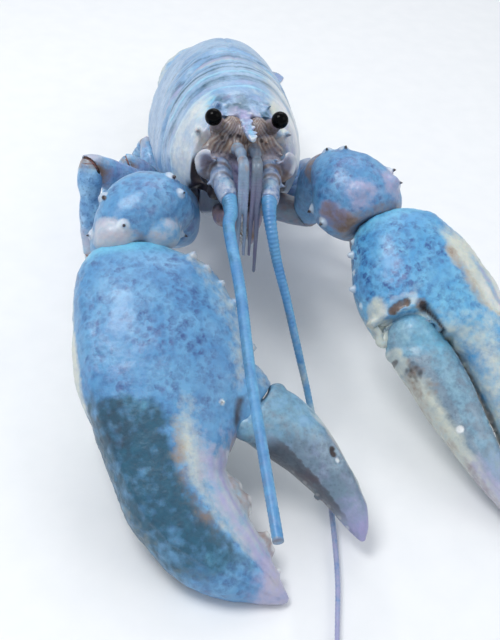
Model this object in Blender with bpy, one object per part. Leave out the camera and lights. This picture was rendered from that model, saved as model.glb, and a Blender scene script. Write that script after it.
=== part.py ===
"""American lobster, life size, standing on its walking legs with both claws held forward to the floor.

Sizes are in millimetres and become metres when a mesh is made. The animal faces -Y with +Z up,
so its right side, which carries the crusher claw, is at -X. The floor is z = 0.
"""
import math

import bmesh
import bpy
from mathutils import Matrix, Vector
from mathutils.bvhtree import BVHTree

MM = 0.001
GAP = 0.3  # clearance between pieces that touch
MIDDLE_OF_FOOTPRINT = Vector((21.362, 0.0625, 0.0))  # becomes the origin
UP = Vector((0, 0, 1))

# Carapace and how it is carried
CARAPACE_LENGTH = 100.0  # from the eye socket to the rear edge
BODY_PITCH = math.radians(16)  # the head is carried higher than the tail
SOCKET_HEIGHT = 50.0  # of the carapace's lower edge line, below the eye socket
SHELL_WALL = 3.0
CEILING = 10.0  # the shell is solid above this height over its lower edge line
BREAST_HALF_WIDTH = 12.0
ROSTRUM_LENGTH = 31.0
ROSTRUM_HALF_WIDTH = 7.5
EYE_SPREAD = 11.75
EYE_RADIUS = 3.1

# Antennae
ANTENNA_ROOT_RADIUS = 2.5
ROOT_TAPER = 0.6  # below 1, a feeler thins faster near its root
ANTENNA_SIDES = 8

# Claws
CLAW_SIDES = 20
CLAW_POWER = 2.3  # of the superellipse that is a claw's section
TOOTH_SIDES = 6

COLOURS = {
    "shell_blue": ((0.17, 0.42, 0.72), 0.35),
    "shell_pale": ((0.42, 0.60, 0.78), 0.30),
    "feeler_blue": ((0.10, 0.36, 0.68), 0.35),
    "joint_tan": ((0.50, 0.38, 0.33), 0.50),
    "eye_black": ((0.01, 0.01, 0.012), 0.10),
}


def clear_scene():
    for thing in list(bpy.data.objects):
        bpy.data.objects.remove(thing)


def make_materials():
    made = {}
    for name, (colour, roughness) in COLOURS.items():
        material = bpy.data.materials.new(name)
        material.use_nodes = True
        shader = material.node_tree.nodes["Principled BSDF"]
        shader.inputs["Base Color"].default_value = (*colour, 1.0)
        shader.inputs["Roughness"].default_value = roughness
        shader.inputs["Metallic"].default_value = 0.0
        made[name] = material
    return made


clear_scene()
MATERIALS = make_materials()
ANIMAL = bpy.data.collections.new("american_lobster")
bpy.context.scene.collection.children.link(ANIMAL)


# Meshes

def loft(rings):
    """A closed mesh through rings of equally many points, flat at both ends."""
    mesh = bmesh.new()
    loops = [[mesh.verts.new(point) for point in ring] for ring in rings]
    for near, far in zip(loops, loops[1:]):
        for i in range(len(near)):
            j = (i + 1) % len(near)
            mesh.faces.new((near[i], near[j], far[j], far[i]))
    mesh.faces.new(loops[0][::-1])
    mesh.faces.new(loops[-1])
    bmesh.ops.recalc_face_normals(mesh, faces=mesh.faces)
    return mesh


def ring(centre, normal, up, half_width, half_height, sides, power=2.0):
    """A superellipse about centre, in the plane across normal; its height runs along up."""
    normal = normal.normalized()
    side = up.cross(normal).normalized()
    rise = normal.cross(side)
    points = []
    for i in range(sides):
        turn = 2 * math.pi * (i + 0.5) / sides
        across, along = math.cos(turn), math.sin(turn)
        across = math.copysign(abs(across) ** (2 / power), across)
        along = math.copysign(abs(along) ** (2 / power), along)
        points.append(centre + side * half_width * across + rise * half_height * along)
    return points


def tube(stations, up, sides, power=2.0, start_normal=None, end_normal=None):
    """A closed mesh along stations of (centre, half width, half height)."""
    centres = [Vector(station[0]) for station in stations]
    rings = []
    last = len(stations) - 1
    for i, (_, half_width, half_height) in enumerate(stations):
        normal = centres[min(i + 1, last)] - centres[max(i - 1, 0)]
        if i == 0 and start_normal is not None:
            normal = start_normal
        if i == last and end_normal is not None:
            normal = end_normal
        rings.append(ring(centres[i], normal, up, half_width, half_height, sides, power))
    return loft(rings)


def thing(name, mesh, material):
    """An object from a mesh in millimetres, moved so that the footprint's middle is the origin."""
    data = bpy.data.meshes.new(name)
    mesh.transform(Matrix.Scale(MM, 4) @ Matrix.Translation(-MIDDLE_OF_FOOTPRINT))
    mesh.to_mesh(data)
    mesh.free()
    data.materials.append(MATERIALS[material])
    data.shade_smooth()
    data.set_sharp_from_angle(angle=math.radians(50))
    made = bpy.data.objects.new(name, data)
    ANIMAL.objects.link(made)
    return made


def keep_largest(data):
    """Leaves only the closed surface that holds the most volume."""
    mesh = bmesh.new()
    mesh.from_mesh(data)
    left = set(mesh.faces)
    surfaces = []
    while left:
        found = {left.pop()}
        edge_of_growth = list(found)
        while edge_of_growth:
            face = edge_of_growth.pop()
            for edge in face.edges:
                for other in edge.link_faces:
                    if other in left:
                        left.remove(other)
                        found.add(other)
                        edge_of_growth.append(other)
        surfaces.append(found)

    def volume(faces):
        total = 0.0
        for face in faces:
            corners = [vert.co for vert in face.verts]
            for second, third in zip(corners[1:], corners[2:]):
                total += corners[0].dot(second.cross(third)) / 6
        return total

    surfaces.sort(key=volume)
    scraps = [face for faces in surfaces[:-1] for face in faces]
    bmesh.ops.delete(mesh, geom=scraps, context="FACES")
    mesh.to_mesh(data)
    mesh.free()


def combine(core, pieces, operation, solver="EXACT"):
    """Joins pieces to core, or cuts them from it, by one Boolean that is applied."""
    if not pieces:
        return core
    gathered = bpy.data.collections.new("pieces_of_" + core.name)
    bpy.context.scene.collection.children.link(gathered)
    for piece in pieces:
        ANIMAL.objects.unlink(piece)
        gathered.objects.link(piece)
    boolean = core.modifiers.new("combine", "BOOLEAN")
    boolean.operand_type = "COLLECTION"
    boolean.collection = gathered
    boolean.operation = operation
    boolean.solver = solver
    bpy.context.view_layer.update()
    graph = bpy.context.evaluated_depsgraph_get()
    result = bpy.data.meshes.new_from_object(core.evaluated_get(graph))
    core.modifiers.remove(boolean)
    for piece in pieces:
        bpy.data.objects.remove(piece)
    bpy.data.collections.remove(gathered)
    keep_largest(result)
    core.data = result
    return core


def fuse(core, pieces, solver="EXACT"):
    return combine(core, pieces, "UNION", solver)


def cut(core, pieces):
    return combine(core, pieces, "DIFFERENCE")


def cone(root, direction, length, radius, sides=6, sink=0.35, tip=0.12):
    """A tapered spine standing on root, its lower part sunk in."""
    mesh = bmesh.new()
    direction = Vector(direction).normalized()
    bmesh.ops.create_cone(
        mesh, cap_ends=True, segments=sides, radius1=radius, radius2=radius * tip, depth=length * (1 + sink)
    )
    middle = Vector(root) + direction * (length * (1 - sink) / 2)
    turn = direction.to_track_quat("Z", "Y").to_matrix().to_4x4()
    mesh.transform(Matrix.Translation(middle) @ turn)
    return thing("piece", mesh, "shell_pale")


def seat(core, outside, towards):
    """The point of core's surface, in millimetres, first met from outside, and the normal there."""
    tree = BVHTree.FromObject(core, bpy.context.evaluated_depsgraph_get())
    start = (Vector(outside) - MIDDLE_OF_FOOTPRINT) * MM
    end = (Vector(towards) - MIDDLE_OF_FOOTPRINT) * MM
    place, normal, _, _ = tree.ray_cast(start, (end - start).normalized())
    return place / MM + MIDDLE_OF_FOOTPRINT, normal


def trim_below_floor(made):
    """Cuts a piece flat where it would reach below the floor."""
    mesh = bmesh.new()
    mesh.from_mesh(made.data)
    bmesh.ops.bisect_plane(
        mesh,
        geom=mesh.verts[:] + mesh.edges[:] + mesh.faces[:],
        plane_co=(0, 0, 0),
        plane_no=(0, 0, -1),
        clear_outer=True,
    )
    rim = [edge for edge in mesh.edges if edge.is_boundary]
    bmesh.ops.holes_fill(mesh, edges=rim)
    bmesh.ops.recalc_face_normals(mesh, faces=mesh.faces)
    mesh.to_mesh(made.data)
    mesh.free()


def smooth_step(start, end, value):
    share = min(1.0, max(0.0, (value - start) / (end - start)))
    return share * share * (3 - 2 * share)


def along(table, value):
    """Reads a table of rows that start with a rising value, smoothly between the rows."""
    if value <= table[0][0]:
        return table[0][1:]
    for low, high in zip(table, table[1:]):
        if value <= high[0]:
            share = (value - low[0]) / (high[0] - low[0])
            return tuple(a + (b - a) * share for a, b in zip(low[1:], high[1:]))
    return table[-1][1:]


# Carapace: a hood of shell, open below for the legs and in front for the face

def body(side, back, rise):
    """A point of the pitched body: across, back from the eye sockets, and up from the lower edge."""
    return Vector(
        (
            side,
            back * math.cos(BODY_PITCH) + rise * math.sin(BODY_PITCH),
            SOCKET_HEIGHT - back * math.sin(BODY_PITCH) + rise * math.cos(BODY_PITCH),
        )
    )


# Distance back, height of the back, half width, height of the widest place, height of the lower edge
CARAPACE_SECTIONS = [
    (-1, 37.0, 17.5, 20, 11.0),
    (3, 39.0, 19.5, 19, 8.0),
    (10, 42.0, 22.5, 17.5, 5.0),
    (22, 46.0, 26.0, 14, 1.5),
    (36, 48.8, 28.3, 11, -0.5),
    (50, 50.5, 29.3, 9, -1.5),
    (66, 51.2, 30.0, 8, -1.5),
    (80, 50.8, 30.8, 8, -0.5),
    (91, 49.0, 30.5, 8, 1.0),
    (CARAPACE_LENGTH, 46.0, 28.5, 8.5, 3.5),
]
DOME_SHARE = 0.64  # of the way from the midline to the lower edge, the rest being the side wall
EDGE_INSET = 0.88
DOME_POWER = 1.97
GROOVE_DEPTH = 1.3
GROOVE_WIDTH = 3.2
REAR_NOTCH = 3.5  # how far the rear edge is cut in at the midline


def groove_line(share):
    """Where the neck groove crosses the shell, back from the sockets, by share of the way down."""
    return 53.0 - 24.0 * abs(share) ** 1.5


def carapace_point(back, share, inset=0.0):
    """A point of the shell's outside; share runs from -1, the right lower edge, to 1, the left one."""
    top, half_width, widest, edge = along(CARAPACE_SECTIONS, back)
    depth = GROOVE_DEPTH * math.exp(-(((back - groove_line(share)) / GROOVE_WIDTH) ** 2))
    inset = inset + depth
    half_width, top = half_width - inset, top - inset
    if abs(share) <= DOME_SHARE:
        turn = share / DOME_SHARE * math.pi / 2
        side = math.copysign(half_width * abs(math.sin(turn)) ** (2 / DOME_POWER), share)
        rise = widest + (top - widest) * math.cos(turn) ** (2 / DOME_POWER)
    else:
        fall = (abs(share) - DOME_SHARE) / (1 - DOME_SHARE)
        side = math.copysign(half_width * (1 - (1 - EDGE_INSET) * fall ** 2), share)
        rise = widest + (edge - widest) * fall
    rear = smooth_step(60, CARAPACE_LENGTH, back)
    back = back - rear * REAR_NOTCH * max(0.0, 1 - (share / DOME_SHARE) ** 2)
    return body(side, back, rise)


def spread(start, end, count):
    return [start + (end - start) * i / (count - 1) for i in range(count)]


def make_carapace():
    rings = []
    for back in [-1, 2, 6, 11, 17, 23, 29, 34, 39, 43.5, 47.5, 51, 54.5, 59, 65, 72, 79, 86, 92, 97, 100]:
        _, half_width, _, edge = along(CARAPACE_SECTIONS, back)
        outer = [carapace_point(back, share) for share in spread(-1, 1, 27)]
        wall = half_width * EDGE_INSET - SHELL_WALL
        roof = [(wall, edge + 0.5), (wall - 1, 7), (wall - 5, CEILING), (0, CEILING)]
        roof += [(-side, rise) for side, rise in reversed(roof[:-1])]
        inner = [body(side, back, rise) for side, rise in roof]
        rings.append(outer + inner)
    shell = thing("carapace", loft(rings), "shell_pale")
    # The face sits in a recess under the front edge.
    recess = []
    for back in (-6, 2, 9):
        _, half_width, _, edge = along(CARAPACE_SECTIONS, back)
        jamb = half_width - SHELL_WALL
        lower = [body(jamb, back, edge - 6), body(-jamb, back, edge - 6)]
        upper = [carapace_point(back, share, SHELL_WALL) for share in spread(-0.8, 0.8, 17)]
        recess.append(upper + lower)
    cut(shell, [thing("recess", loft(recess), "shell_pale")])
    return fuse(shell, [make_rostrum()] + carapace_spines())


# Distance forward from the sockets, half width, height of its top, thickness
ROSTRUM_SECTIONS = [
    (-14, 10.0, 40.0, 6.0),
    (-4, 9.0, 39.0, 6.0),
    (2, ROSTRUM_HALF_WIDTH, 37.8, 5.5),
    (9, 5.8, 36.5, 5.0),
    (17, 4.3, 35.6, 4.4),
    (24, 2.8, 35.6, 3.4),
    (29, 1.5, 36.2, 2.2),
    (ROSTRUM_LENGTH, 0.5, 36.8, 0.9),
]


def make_rostrum():
    """The beak between the eyes, hollowed along its top."""
    rings = []
    for ahead, half_width, top, thick in ROSTRUM_SECTIONS:
        sag = 0.22 * thick
        outline = [
            (-half_width, top),
            (-half_width * 0.5, top - sag),
            (0, top - sag * 1.4),
            (half_width * 0.5, top - sag),
            (half_width, top),
            (half_width * 0.9, top - thick * 0.55),
            (0, top - thick),
            (-half_width * 0.9, top - thick * 0.55),
        ]
        rings.append([body(side, -ahead, rise) for side, rise in outline])
    return thing("rostrum", loft(rings), "shell_pale")


def carapace_spines():
    """Spines along the rostrum's edges, behind it, and at the outer corners of the eye sockets."""
    spines = []
    for side in (-1, 1):
        for ahead, length in ((7, 4.2), (13.5, 4.4), (20, 4.0), (26, 2.8)):
            half_width, top, thick = along(ROSTRUM_SECTIONS, ahead)
            root = body(side * half_width * 0.8, -ahead, top - thick * 0.3)
            spines.append(cone(root, body(side * 0.62, -1.0, 0.25) - body(0, 0, 0), length, 1.3))
        root = body(side * 16.0, 0.5, 30.0)
        spines.append(cone(root, body(side * 0.2, -1.0, 0.2) - body(0, 0, 0), 5.0, 2.2, sink=0.9))
        root = body(side * 9.2, 3.0, 38.8)
        spines.append(cone(root, body(side * 0.1, -1.0, 0.35) - body(0, 0, 0), 4.2, 1.6, sink=0.8))
    return spines


# Face, eyes, feelers and mouthparts

# Across and up, from the crown round the left side to the chin
FACE_OUTLINE = [(10.6, 28.5), (13.2, 23.5), (13.7, 18.0), (12.8, 11.0), (9.5, 5.6)]
FACE_FRONT = 7.5  # ahead of the eye sockets
BROW = 31.0  # height of the face under the eyes, in front of the shell
CROWN = FACE_OUTLINE[0][1]
# Distance back, share of the width, height of the crown, rise of the chin
FACE_SECTIONS = [
    (8.6, 1.0, CROWN, 0.0), (-1.4, 1.0, CROWN, 0.6), (-1.5, 1.0, BROW, 0.6), (-4.5, 1.0, BROW, 2.0),
    (-FACE_FRONT, 0.95, BROW, 4.0),
]


def make_face():
    """The front of the head inside the shell's front edge, down to the mouth."""
    rings = []
    for back, narrow, crown, chin in FACE_SECTIONS:
        right = [(-x * narrow, z * crown / CROWN + chin * (1 - z / CROWN)) for x, z in FACE_OUTLINE]
        left = [(-x, z) for x, z in reversed(right)]
        rings.append([body(x, back, z) for x, z in right + left])
    return thing("face", loft(rings), "joint_tan")


def body_way(side, back, rise):
    """A direction given in the pitched body's own axes."""
    return body(side, back, rise) - body(0, 0, 0)


def mirrored(side, points):
    """The same body-frame stations on the right, side -1, or on the left, side 1."""
    return [(body(side * x, y, z), a, b) for (x, y, z), a, b in points]


def make_eye(side, name):
    """A short stalk with the round eye at its end."""
    stalk = mirrored(
        side,
        [
            ((9.5, -4.5, BROW + GAP), 2.3, 2.3),
            ((10.2, -5.6, 33.0), 2.6, 2.6),
            ((11.0, -6.9, 34.6), 2.7, 2.7),
            ((EYE_SPREAD, -8, 36), 2.3, 2.3),
        ],
    )
    core = thing(name, tube(stalk, Vector((0, 1, 0)), 10, 2.0, body_way(0, 0, 1)), "eye_black")
    ball = bmesh.new()
    bmesh.ops.create_uvsphere(ball, u_segments=14, v_segments=9, radius=EYE_RADIUS)
    ball.transform(Matrix.Translation(body(side * EYE_SPREAD, -8, 36)))
    return fuse(core, [thing("ball", ball, "eye_black")])


ANTENNA_ROOT = (9.6, -FACE_FRONT - GAP, 17.5)
ANTENNA_KNEE = (7.7, -24.5, 14.9)
ANTENNA_START = (6.8, -28.0, 14.0)


def antenna_way(side):
    """The direction in which a long feeler leaves its root joints."""
    start, _, _ = mirrored(side, [(ANTENNA_START, 0, 0)])[0]
    knee, _, _ = mirrored(side, [(ANTENNA_KNEE, 0, 0)])[0]
    return (start - knee).normalized()


def make_antenna_base(side, name):
    """The feeler's thick root joints, with the pointed scale beside them."""
    stations = mirrored(
        side,
        [
            (ANTENNA_ROOT, 3.6, 4.2),
            ((10.4, -11.0, 18.0), 4.4, 4.9),
            ((10.2, -14.0, 17.6), 3.6, 4.1),
            ((9.5, -17.0, 16.8), 3.9, 4.3),
            ((8.6, -20.8, 15.8), 3.1, 3.4),
            (ANTENNA_KNEE, 3.2, 3.4),
            (ANTENNA_START, 2.6, 2.7),
        ],
    )
    mesh = tube(stations, UP, 12, 2.0, body_way(0, -1, 0), antenna_way(side))
    core = thing(name, mesh, "joint_tan")
    scale = mirrored(
        side,
        [
            ((11.6, -10.0, 19.0), 3.0, 2.2),
            ((13.6, -13.5, 21.0), 3.3, 1.3),
            ((13.4, -19.0, 22.4), 2.5, 0.9),
            ((12.2, -23.5, 23.4), 0.5, 0.35),
        ],
    )
    return fuse(core, [thing("scale", tube(scale, body_way(0, -0.2, 1), 8), "shell_pale")])


def curve_through(points, count):
    """Points spaced along one smooth curve through the given ones (Catmull-Rom)."""
    points = [Vector(point) for point in points]
    padded = [points[0] * 2 - points[1]] + points + [points[-1] * 2 - points[-2]]
    made = []
    for i in range(count):
        place = i / (count - 1) * (len(points) - 1)
        k = min(int(place), len(points) - 2)
        t = place - k
        a, b, c, d = padded[k : k + 4]
        bend = (2 * a - 5 * b + 4 * c - d) * t ** 2
        twist = (3 * b - 3 * c + d - a) * t ** 3
        made.append(0.5 * (2 * b + (c - a) * t + bend + twist))
    return made


def feeler(name, route, start_radius, end_radius, count, sides, material, start_normal=None):
    centres = curve_through(route, count)
    stations = []
    for i, centre in enumerate(centres):
        share = i / (count - 1)
        radius = start_radius + (end_radius - start_radius) * share ** ROOT_TAPER
        stations.append((centre, radius, radius))
    return thing(name, tube(stations, Vector((0.3, 0, 1)), sides, 2.0, start_normal), material)


# World places along each long feeler after its root
RIGHT_FEELER = [(-8.2, -40.0, 71.0), (-7.0, -68.0, 69.0), (-6.4, -102.0, 64.0), (-4.2, -149.0, 58.0)]
LEFT_FEELER = [
    (7.6, -34.0, 64.0), (9.8, -38.0, 56.0), (13.4, -45.0, 46.0), (17.3, -54.0, 34.0),
    (21.5, -61.0, 21.0), (25.5, -70.0, 8.0), (27.5, -88.0, 3.2), (25.0, -122.0, 2.3),
    (20.5, -148.0, 2.1), (14.0, -190.0, 2.0), (18.6, -228.0, 1.9),
]


def make_antennae():
    """The right feeler is broken short and held out; the left one trails along the floor."""
    for side, name, places, end_radius, count in (
        (-1, "antenna_right", RIGHT_FEELER, 1.5, 26), (1, "antenna_left", LEFT_FEELER, 0.5, 56),
    ):
        way = antenna_way(side)
        start = body(side * ANTENNA_START[0], *ANTENNA_START[1:]) + way * GAP
        route = [start, start + way * 7] + places
        feeler(name, route, ANTENNA_ROOT_RADIUS, end_radius, count, ANTENNA_SIDES, "feeler_blue", way)


def make_antennule(side, name):
    """A small feeler under the beak: a jointed root with two thin whips that hang down."""
    stations = mirrored(
        side,
        [
            ((3.0, -FACE_FRONT - GAP, 26.0), 1.9, 1.9),
            ((2.9, -12.5, 27.2), 2.1, 2.1),
            ((2.7, -16.0, 27.4), 1.6, 1.6),
            ((2.6, -19.5, 27.2), 1.8, 1.8),
            ((2.5, -23.5, 26.6), 1.4, 1.4),
        ],
    )
    core = thing(name, tube(stations, UP, 8, 2.0, body_way(0, -1, 0)), "joint_tan")
    root = Vector((side * 2.5, -22.0, 26.6))
    whips = []
    for spreading, reach, girth in ((side * 0.75, 36.0, 1.2), (side * -0.75, 27.0, 0.85)):
        route = [
            body(root.x + spreading * 0.8, root.y, root.z),
            body(root.x * 0.9 + spreading * 1.1, root.y - 4.5, root.z - 2.5),
            body(root.x * 0.85 + spreading * 1.4, root.y - 6.5, root.z - 0.4 * reach),
            body(root.x * 0.85 + spreading * 1.9, root.y - 8.5, root.z - reach),
        ]
        whips.append(feeler("whip", route, girth, 0.4, 9, 6, "joint_tan"))
    return fuse(core, whips)


def make_maxilliped(side, name):
    """The outer mouthpart: a flattened leg that folds forward under the face and hangs down."""
    stations = mirrored(
        side,
        [
            ((5.4, BREAST_FRONT - GAP, -2.0), 2.9, 2.5),
            ((5.7, 2.0, -1.6), 3.2, 2.7),
            ((5.3, -6.0, -0.4), 3.1, 2.9),
            ((4.7, -11.5, 2.0), 2.8, 2.9),
            ((4.1, -15.5, 2.6), 2.5, 2.6),
            ((3.6, -18.2, 0.8), 2.1, 2.2),
            ((3.2, -18.8, -2.4), 1.5, 1.5),
            ((3.0, -18.0, -6.0), 0.35, 0.4),
        ],
    )
    return thing(name, tube(stations, UP, 8, 2.0, body_way(0, -1, 0)), "joint_tan")


# Breast: the keel that carries the legs, inside the shell's lower opening
BREAST_FRONT = 9.5
# Distance back, half width, height of its underside
BREAST_SECTIONS = [
    (BREAST_FRONT, 8.8, -5.0), (20, BREAST_HALF_WIDTH, -8.5), (34, BREAST_HALF_WIDTH, -9.5),
    (55, BREAST_HALF_WIDTH, -9.5), (75, BREAST_HALF_WIDTH, -9.0), (90, BREAST_HALF_WIDTH, -7.5),
    (97, 10.0, -4.0),
]


def make_sternum():
    rings = []
    top = CEILING - GAP
    for back, half_width, low in BREAST_SECTIONS:
        flank = [(half_width, top), (half_width, low + 1.6), (half_width - 3, low)]
        outline = flank + [(4, low), (0, low + 1.2)]
        outline += [(-x, z) for x, z in reversed(outline[:-1])]
        rings.append([body(x, back, z) for x, z in outline])
    return thing("sternum", loft(rings), "joint_tan")


# Limbs

def joint_normal(before, joint, after):
    """Across this direction both sides of a bent joint are cut."""
    return ((joint - before).normalized() + (after - joint).normalized()).normalized()


def limb_stations(start, end, profile):
    """Stations from start to end; profile rows are share of the way, half width, half height."""
    return [(start.lerp(end, share), half_width, half_height) for share, half_width, half_height in profile]


def make_limb(name, joints, index, profile, sides, material, up=UP):
    """The piece between joints[index] and the next one, cut to meet its neighbours."""
    start, end = joints[index], joints[index + 1]
    direction = (end - start).normalized()
    first = joint_normal(joints[index - 1], start, end) if index > 0 else direction
    last = joint_normal(start, end, joints[index + 2]) if index + 2 < len(joints) else direction
    stations = limb_stations(start + first * GAP / 2, end - last * GAP / 2, profile)
    return thing(name, tube(stations, up, sides, 2.0, first, last), material)


# Where each walking leg leaves the breast, back along the body, and how far it is swept
HIP_BACK = {1: 45.0, 2: 57.0, 3: 70.0, 4: 83.0}
HIP_RISE = -3.6
# Knee, ankle and toe of each leg: aside, back and up from the floor
LEG_JOINTS = {
    (-1, 1): [(54.5, 24.0, 52.5), (54.0, 9.0, 22.0), (51.5, -1.0, 0.0)],
    (-1, 2): [(45.0, 41.0, 38.0), (51.5, 28.0, 17.0), (52.0, 22.0, 0.0)],
    (-1, 3): [(40.0, 63.0, 31.0), (47.5, 57.0, 13.0), (49.5, 53.0, 0.0)],
    (-1, 4): [(31.5, 87.0, 26.0), (36.5, 96.0, 11.0), (36.0, 101.0, 0.0)],
    (1, 1): [(54.0, 27.0, 47.0), (62.0, 8.0, 21.0), (62.0, -2.0, 0.0)],
    (1, 2): [(47.0, 42.0, 40.0), (59.0, 32.0, 18.0), (62.0, 30.0, 0.0)],
    (1, 3): [(40.0, 64.0, 32.0), (51.0, 59.0, 14.0), (54.0, 58.0, 0.0)],
    (1, 4): [(33.0, 87.0, 24.5), (42.0, 95.0, 11.0), (44.0, 99.0, 0.0)],
}
LEG_GIRTH = {1: 1.4, 2: 1.1, 3: 1.0, 4: 0.95}
# Half width and half height, from the hip to the knee
THIGH_GIRTHS = [
    (3.5, 3.5), (3.7, 3.7), (3.2, 3.4), (2.8, 3.1), (3.2, 3.9), (4.1, 4.9), (3.9, 4.5), (3.2, 3.7),
]
SHANK = [(0, 2.7, 3.0), (0.22, 3.2, 3.4), (0.34, 2.4, 2.7), (0.5, 2.7, 3.0), (0.82, 2.2, 2.5), (1, 1.8, 2.0)]
TOE = [(0, 1.5, 1.7), (0.35, 1.3, 1.5), (0.8, 0.8, 0.9), (1.04, 0.6, 0.65)]
UNDER_EDGE = 7.6  # how far below the shell's edge a leg's middle passes


def make_leg(side, number, side_name):
    """One walking leg: it passes under the shell's edge, rises to the knee and comes down to the floor."""
    girth = LEG_GIRTH[number]
    back = HIP_BACK[number]
    _, half_width, _, edge = along(CARAPACE_SECTIONS, back)
    hip = body(side * (BREAST_HALF_WIDTH + GAP), back, HIP_RISE)
    under = body(side * half_width * EDGE_INSET, back - 1.5, edge - UNDER_EDGE)
    knee, ankle, toe_tip = [Vector((side * x, y, z)) for x, y, z in LEG_JOINTS[(side, number)]]
    joints = [under, knee, ankle, toe_tip]
    name = f"leg_{number}_{side_name}_"

    bend = joint_normal(under, knee, ankle)
    centres = curve_through([hip, under, knee - bend * GAP / 2], len(THIGH_GIRTHS))
    stations = []
    for i, (centre, (half, tall)) in enumerate(zip(centres, THIGH_GIRTHS)):
        swell = girth if i > 3 else 1.0
        stations.append((centre, half * swell, tall * swell))
    mesh = tube(stations, UP, 10, 2.0, Vector((side, 0, 0)), bend)
    thing(name + "thigh", mesh, "shell_blue")

    def grown(profile):
        return [(share, a * girth, b * girth) for share, a, b in profile]

    shank = make_limb(name + "shank", joints, 1, grown(SHANK), 8, "shell_blue", Vector((side, 0, 1)))
    toe = make_limb(name + "toe", joints, 2, grown(TOE), 8, "shell_pale", Vector((side, 0, 0)))
    if number <= 2:
        # The first two walking legs end in small pincers: a fixed finger beside the toe.
        reach = toe_tip - ankle
        aside = Vector((-side * 0.5, 1.0, 0.0)).normalized()
        start = ankle - (ankle - knee).normalized() * 5
        finger = [
            (start, 1.4, 1.4),
            (ankle + aside * 4.2 + reach * 0.06, 1.4, 1.4),
            (ankle + aside * 4.6 + reach * 0.45, 1.0, 1.0),
            (ankle + aside * 3.2 + reach * 0.86, 0.35, 0.35),
        ]
        fuse(shank, [thing("finger", tube(finger, Vector((1, 0, 0)), 6), "shell_blue")])
    trim_below_floor(toe)


# Claws

class Claw:
    """One big claw: where its wrist is, how it points, and the shapes in its own plane."""

    def __init__(self, wrist, heading, dip, inner, roll=0.0):
        self.wrist = Vector(wrist)
        heading, dip = math.radians(heading), math.radians(dip)
        self.forward = Vector(
            (math.sin(heading) * math.cos(dip), -math.cos(heading) * math.cos(dip), -math.sin(dip))
        )
        flat = Vector((math.cos(heading), math.sin(heading), 0)) * inner
        upright = flat.cross(self.forward) * -inner
        upright = upright if upright.z > 0 else -upright
        roll = math.radians(roll)
        self.inward = flat * math.cos(roll) + upright * math.sin(roll)
        self.up = upright * math.cos(roll) - flat * math.sin(roll)

    def at(self, ahead, inward, rise=0.0):
        return self.wrist + self.forward * ahead + self.inward * inward + self.up * rise

    def along(self, ahead, inward, rise=0.0):
        return self.forward * ahead + self.inward * inward + self.up * rise

    def solid(self, name, rows, start_normal):
        """A shape through rows of distance ahead, distance inward, half width and half thickness."""
        stations = [(self.at(p, q), a, b) for p, q, a, b in rows]
        return thing(name, tube(stations, self.up, CLAW_SIDES, CLAW_POWER, start_normal), "shell_blue")

    def upright_solid(self, name, rows):
        """The same with every section square to the claw's length."""
        rings = []
        for p, q, a, b in rows:
            rings.append(ring(self.at(p, q), self.forward, self.up, a, b, CLAW_SIDES, CLAW_POWER))
        return thing(name, loft(rings), "shell_blue")

    def tooth(self, ahead, inward, point, length, radius, rise=0.0, tip=0.35):
        root = self.at(ahead, inward, rise)
        return cone(root, self.along(*point), length, radius, TOOTH_SIDES, sink=1.0, tip=tip)


CRUSHER = Claw(wrist=(-39.4, -32.3, 54.0), heading=10.2, dip=26.2, inner=1)
CUTTER = Claw(wrist=(48.1, -12.1, 54.0), heading=22.3, dip=25.4, inner=-1, roll=-18)

# Each row: distance from the wrist, distance inward, half width, half thickness
CRUSHER_PALM = [
    (0, -1.2, 13.2, 10), (5, -0.4, 18.2, 12.5), (11, 0.9, 22.3, 14.8), (24, 3.7, 27.1, 17.2),
    (38, 4.6, 28.3, 17.5), (48, 4.2, 27.6, 17), (56, 3.1, 25.2, 16), (64, 1.7, 22.0, 14.6),
    (72, 0.9, 18.8, 13.4), (80, 1.2, 16.8, 12.6), (87, 3.6, 16, 12), (96, 8.4, 15, 11),
    (104, 14.5, 12.1, 9), (110.5, 21, 8, 6.5), (115.5, 26, 3.9, 3.4),
    (118.5, 29.5, 0.9, 0.9),
]
CRUSHER_HINGE = (59.0, 32.0)
CRUSHER_HINGE_WAY = (0.66, 0.754)
CRUSHER_FINGER = [
    (59.0, 32.0, 10.2, 9), (64, 37.6, 10.6, 10), (70, 43, 9.8, 10), (77, 47.4, 8.4, 9), (84, 51.2, 7.0, 8),
    (91, 54.2, 5.8, 6.5), (97, 56.2, 4.5, 5), (102, 57, 2.8, 3), (105.5, 57.2, 0.7, 0.7),
]
CUTTER_PALM = [
    (0, -4.5, 11, 10), (5, -6, 16, 12.5), (11, -6.3, 18.8, 14.5), (20, -6, 22.3, 15.5), (30, -6.3, 23.8, 16),
    (38, -7.5, 23.8, 15.5), (44, -8.5, 22.5, 14.8), (48, -12.5, 18.5, 14), (51, -17, 14.3, 13),
    (56, -19.5, 12.4, 12), (66, -19.8, 11.8, 11), (80, -18.2, 10, 9.5), (95, -14.5, 7.5, 7.5),
    (108, -10.4, 5, 5.5), (119, -6.8, 2.8, 3.6),
    (126.5, -4, 1.2, 1.6),
]
CUTTER_HINGE = (45.5, 5.0)
CUTTER_HINGE_WAY = (0.92, 0.39)
CUTTER_GAPE = 12.3  # from the middle of the hinge to the corner between the fingers
CUTTER_FINGER = [
    (45.5, 5, 9.2, 8.5), (51, 4.6, 9.8, 9.5), (59, 3.4, 9.4, 9.3), (66, 2.9, 9.3, 9), (80.5, 1.8, 7.6, 8),
    (94.8, 0.6, 5.6, 6.3), (106.5, -0.7, 3.6, 4.5), (114, -1.6, 2.0, 2.6), (119.5, -2.4, 0.7, 0.7),
]


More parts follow.
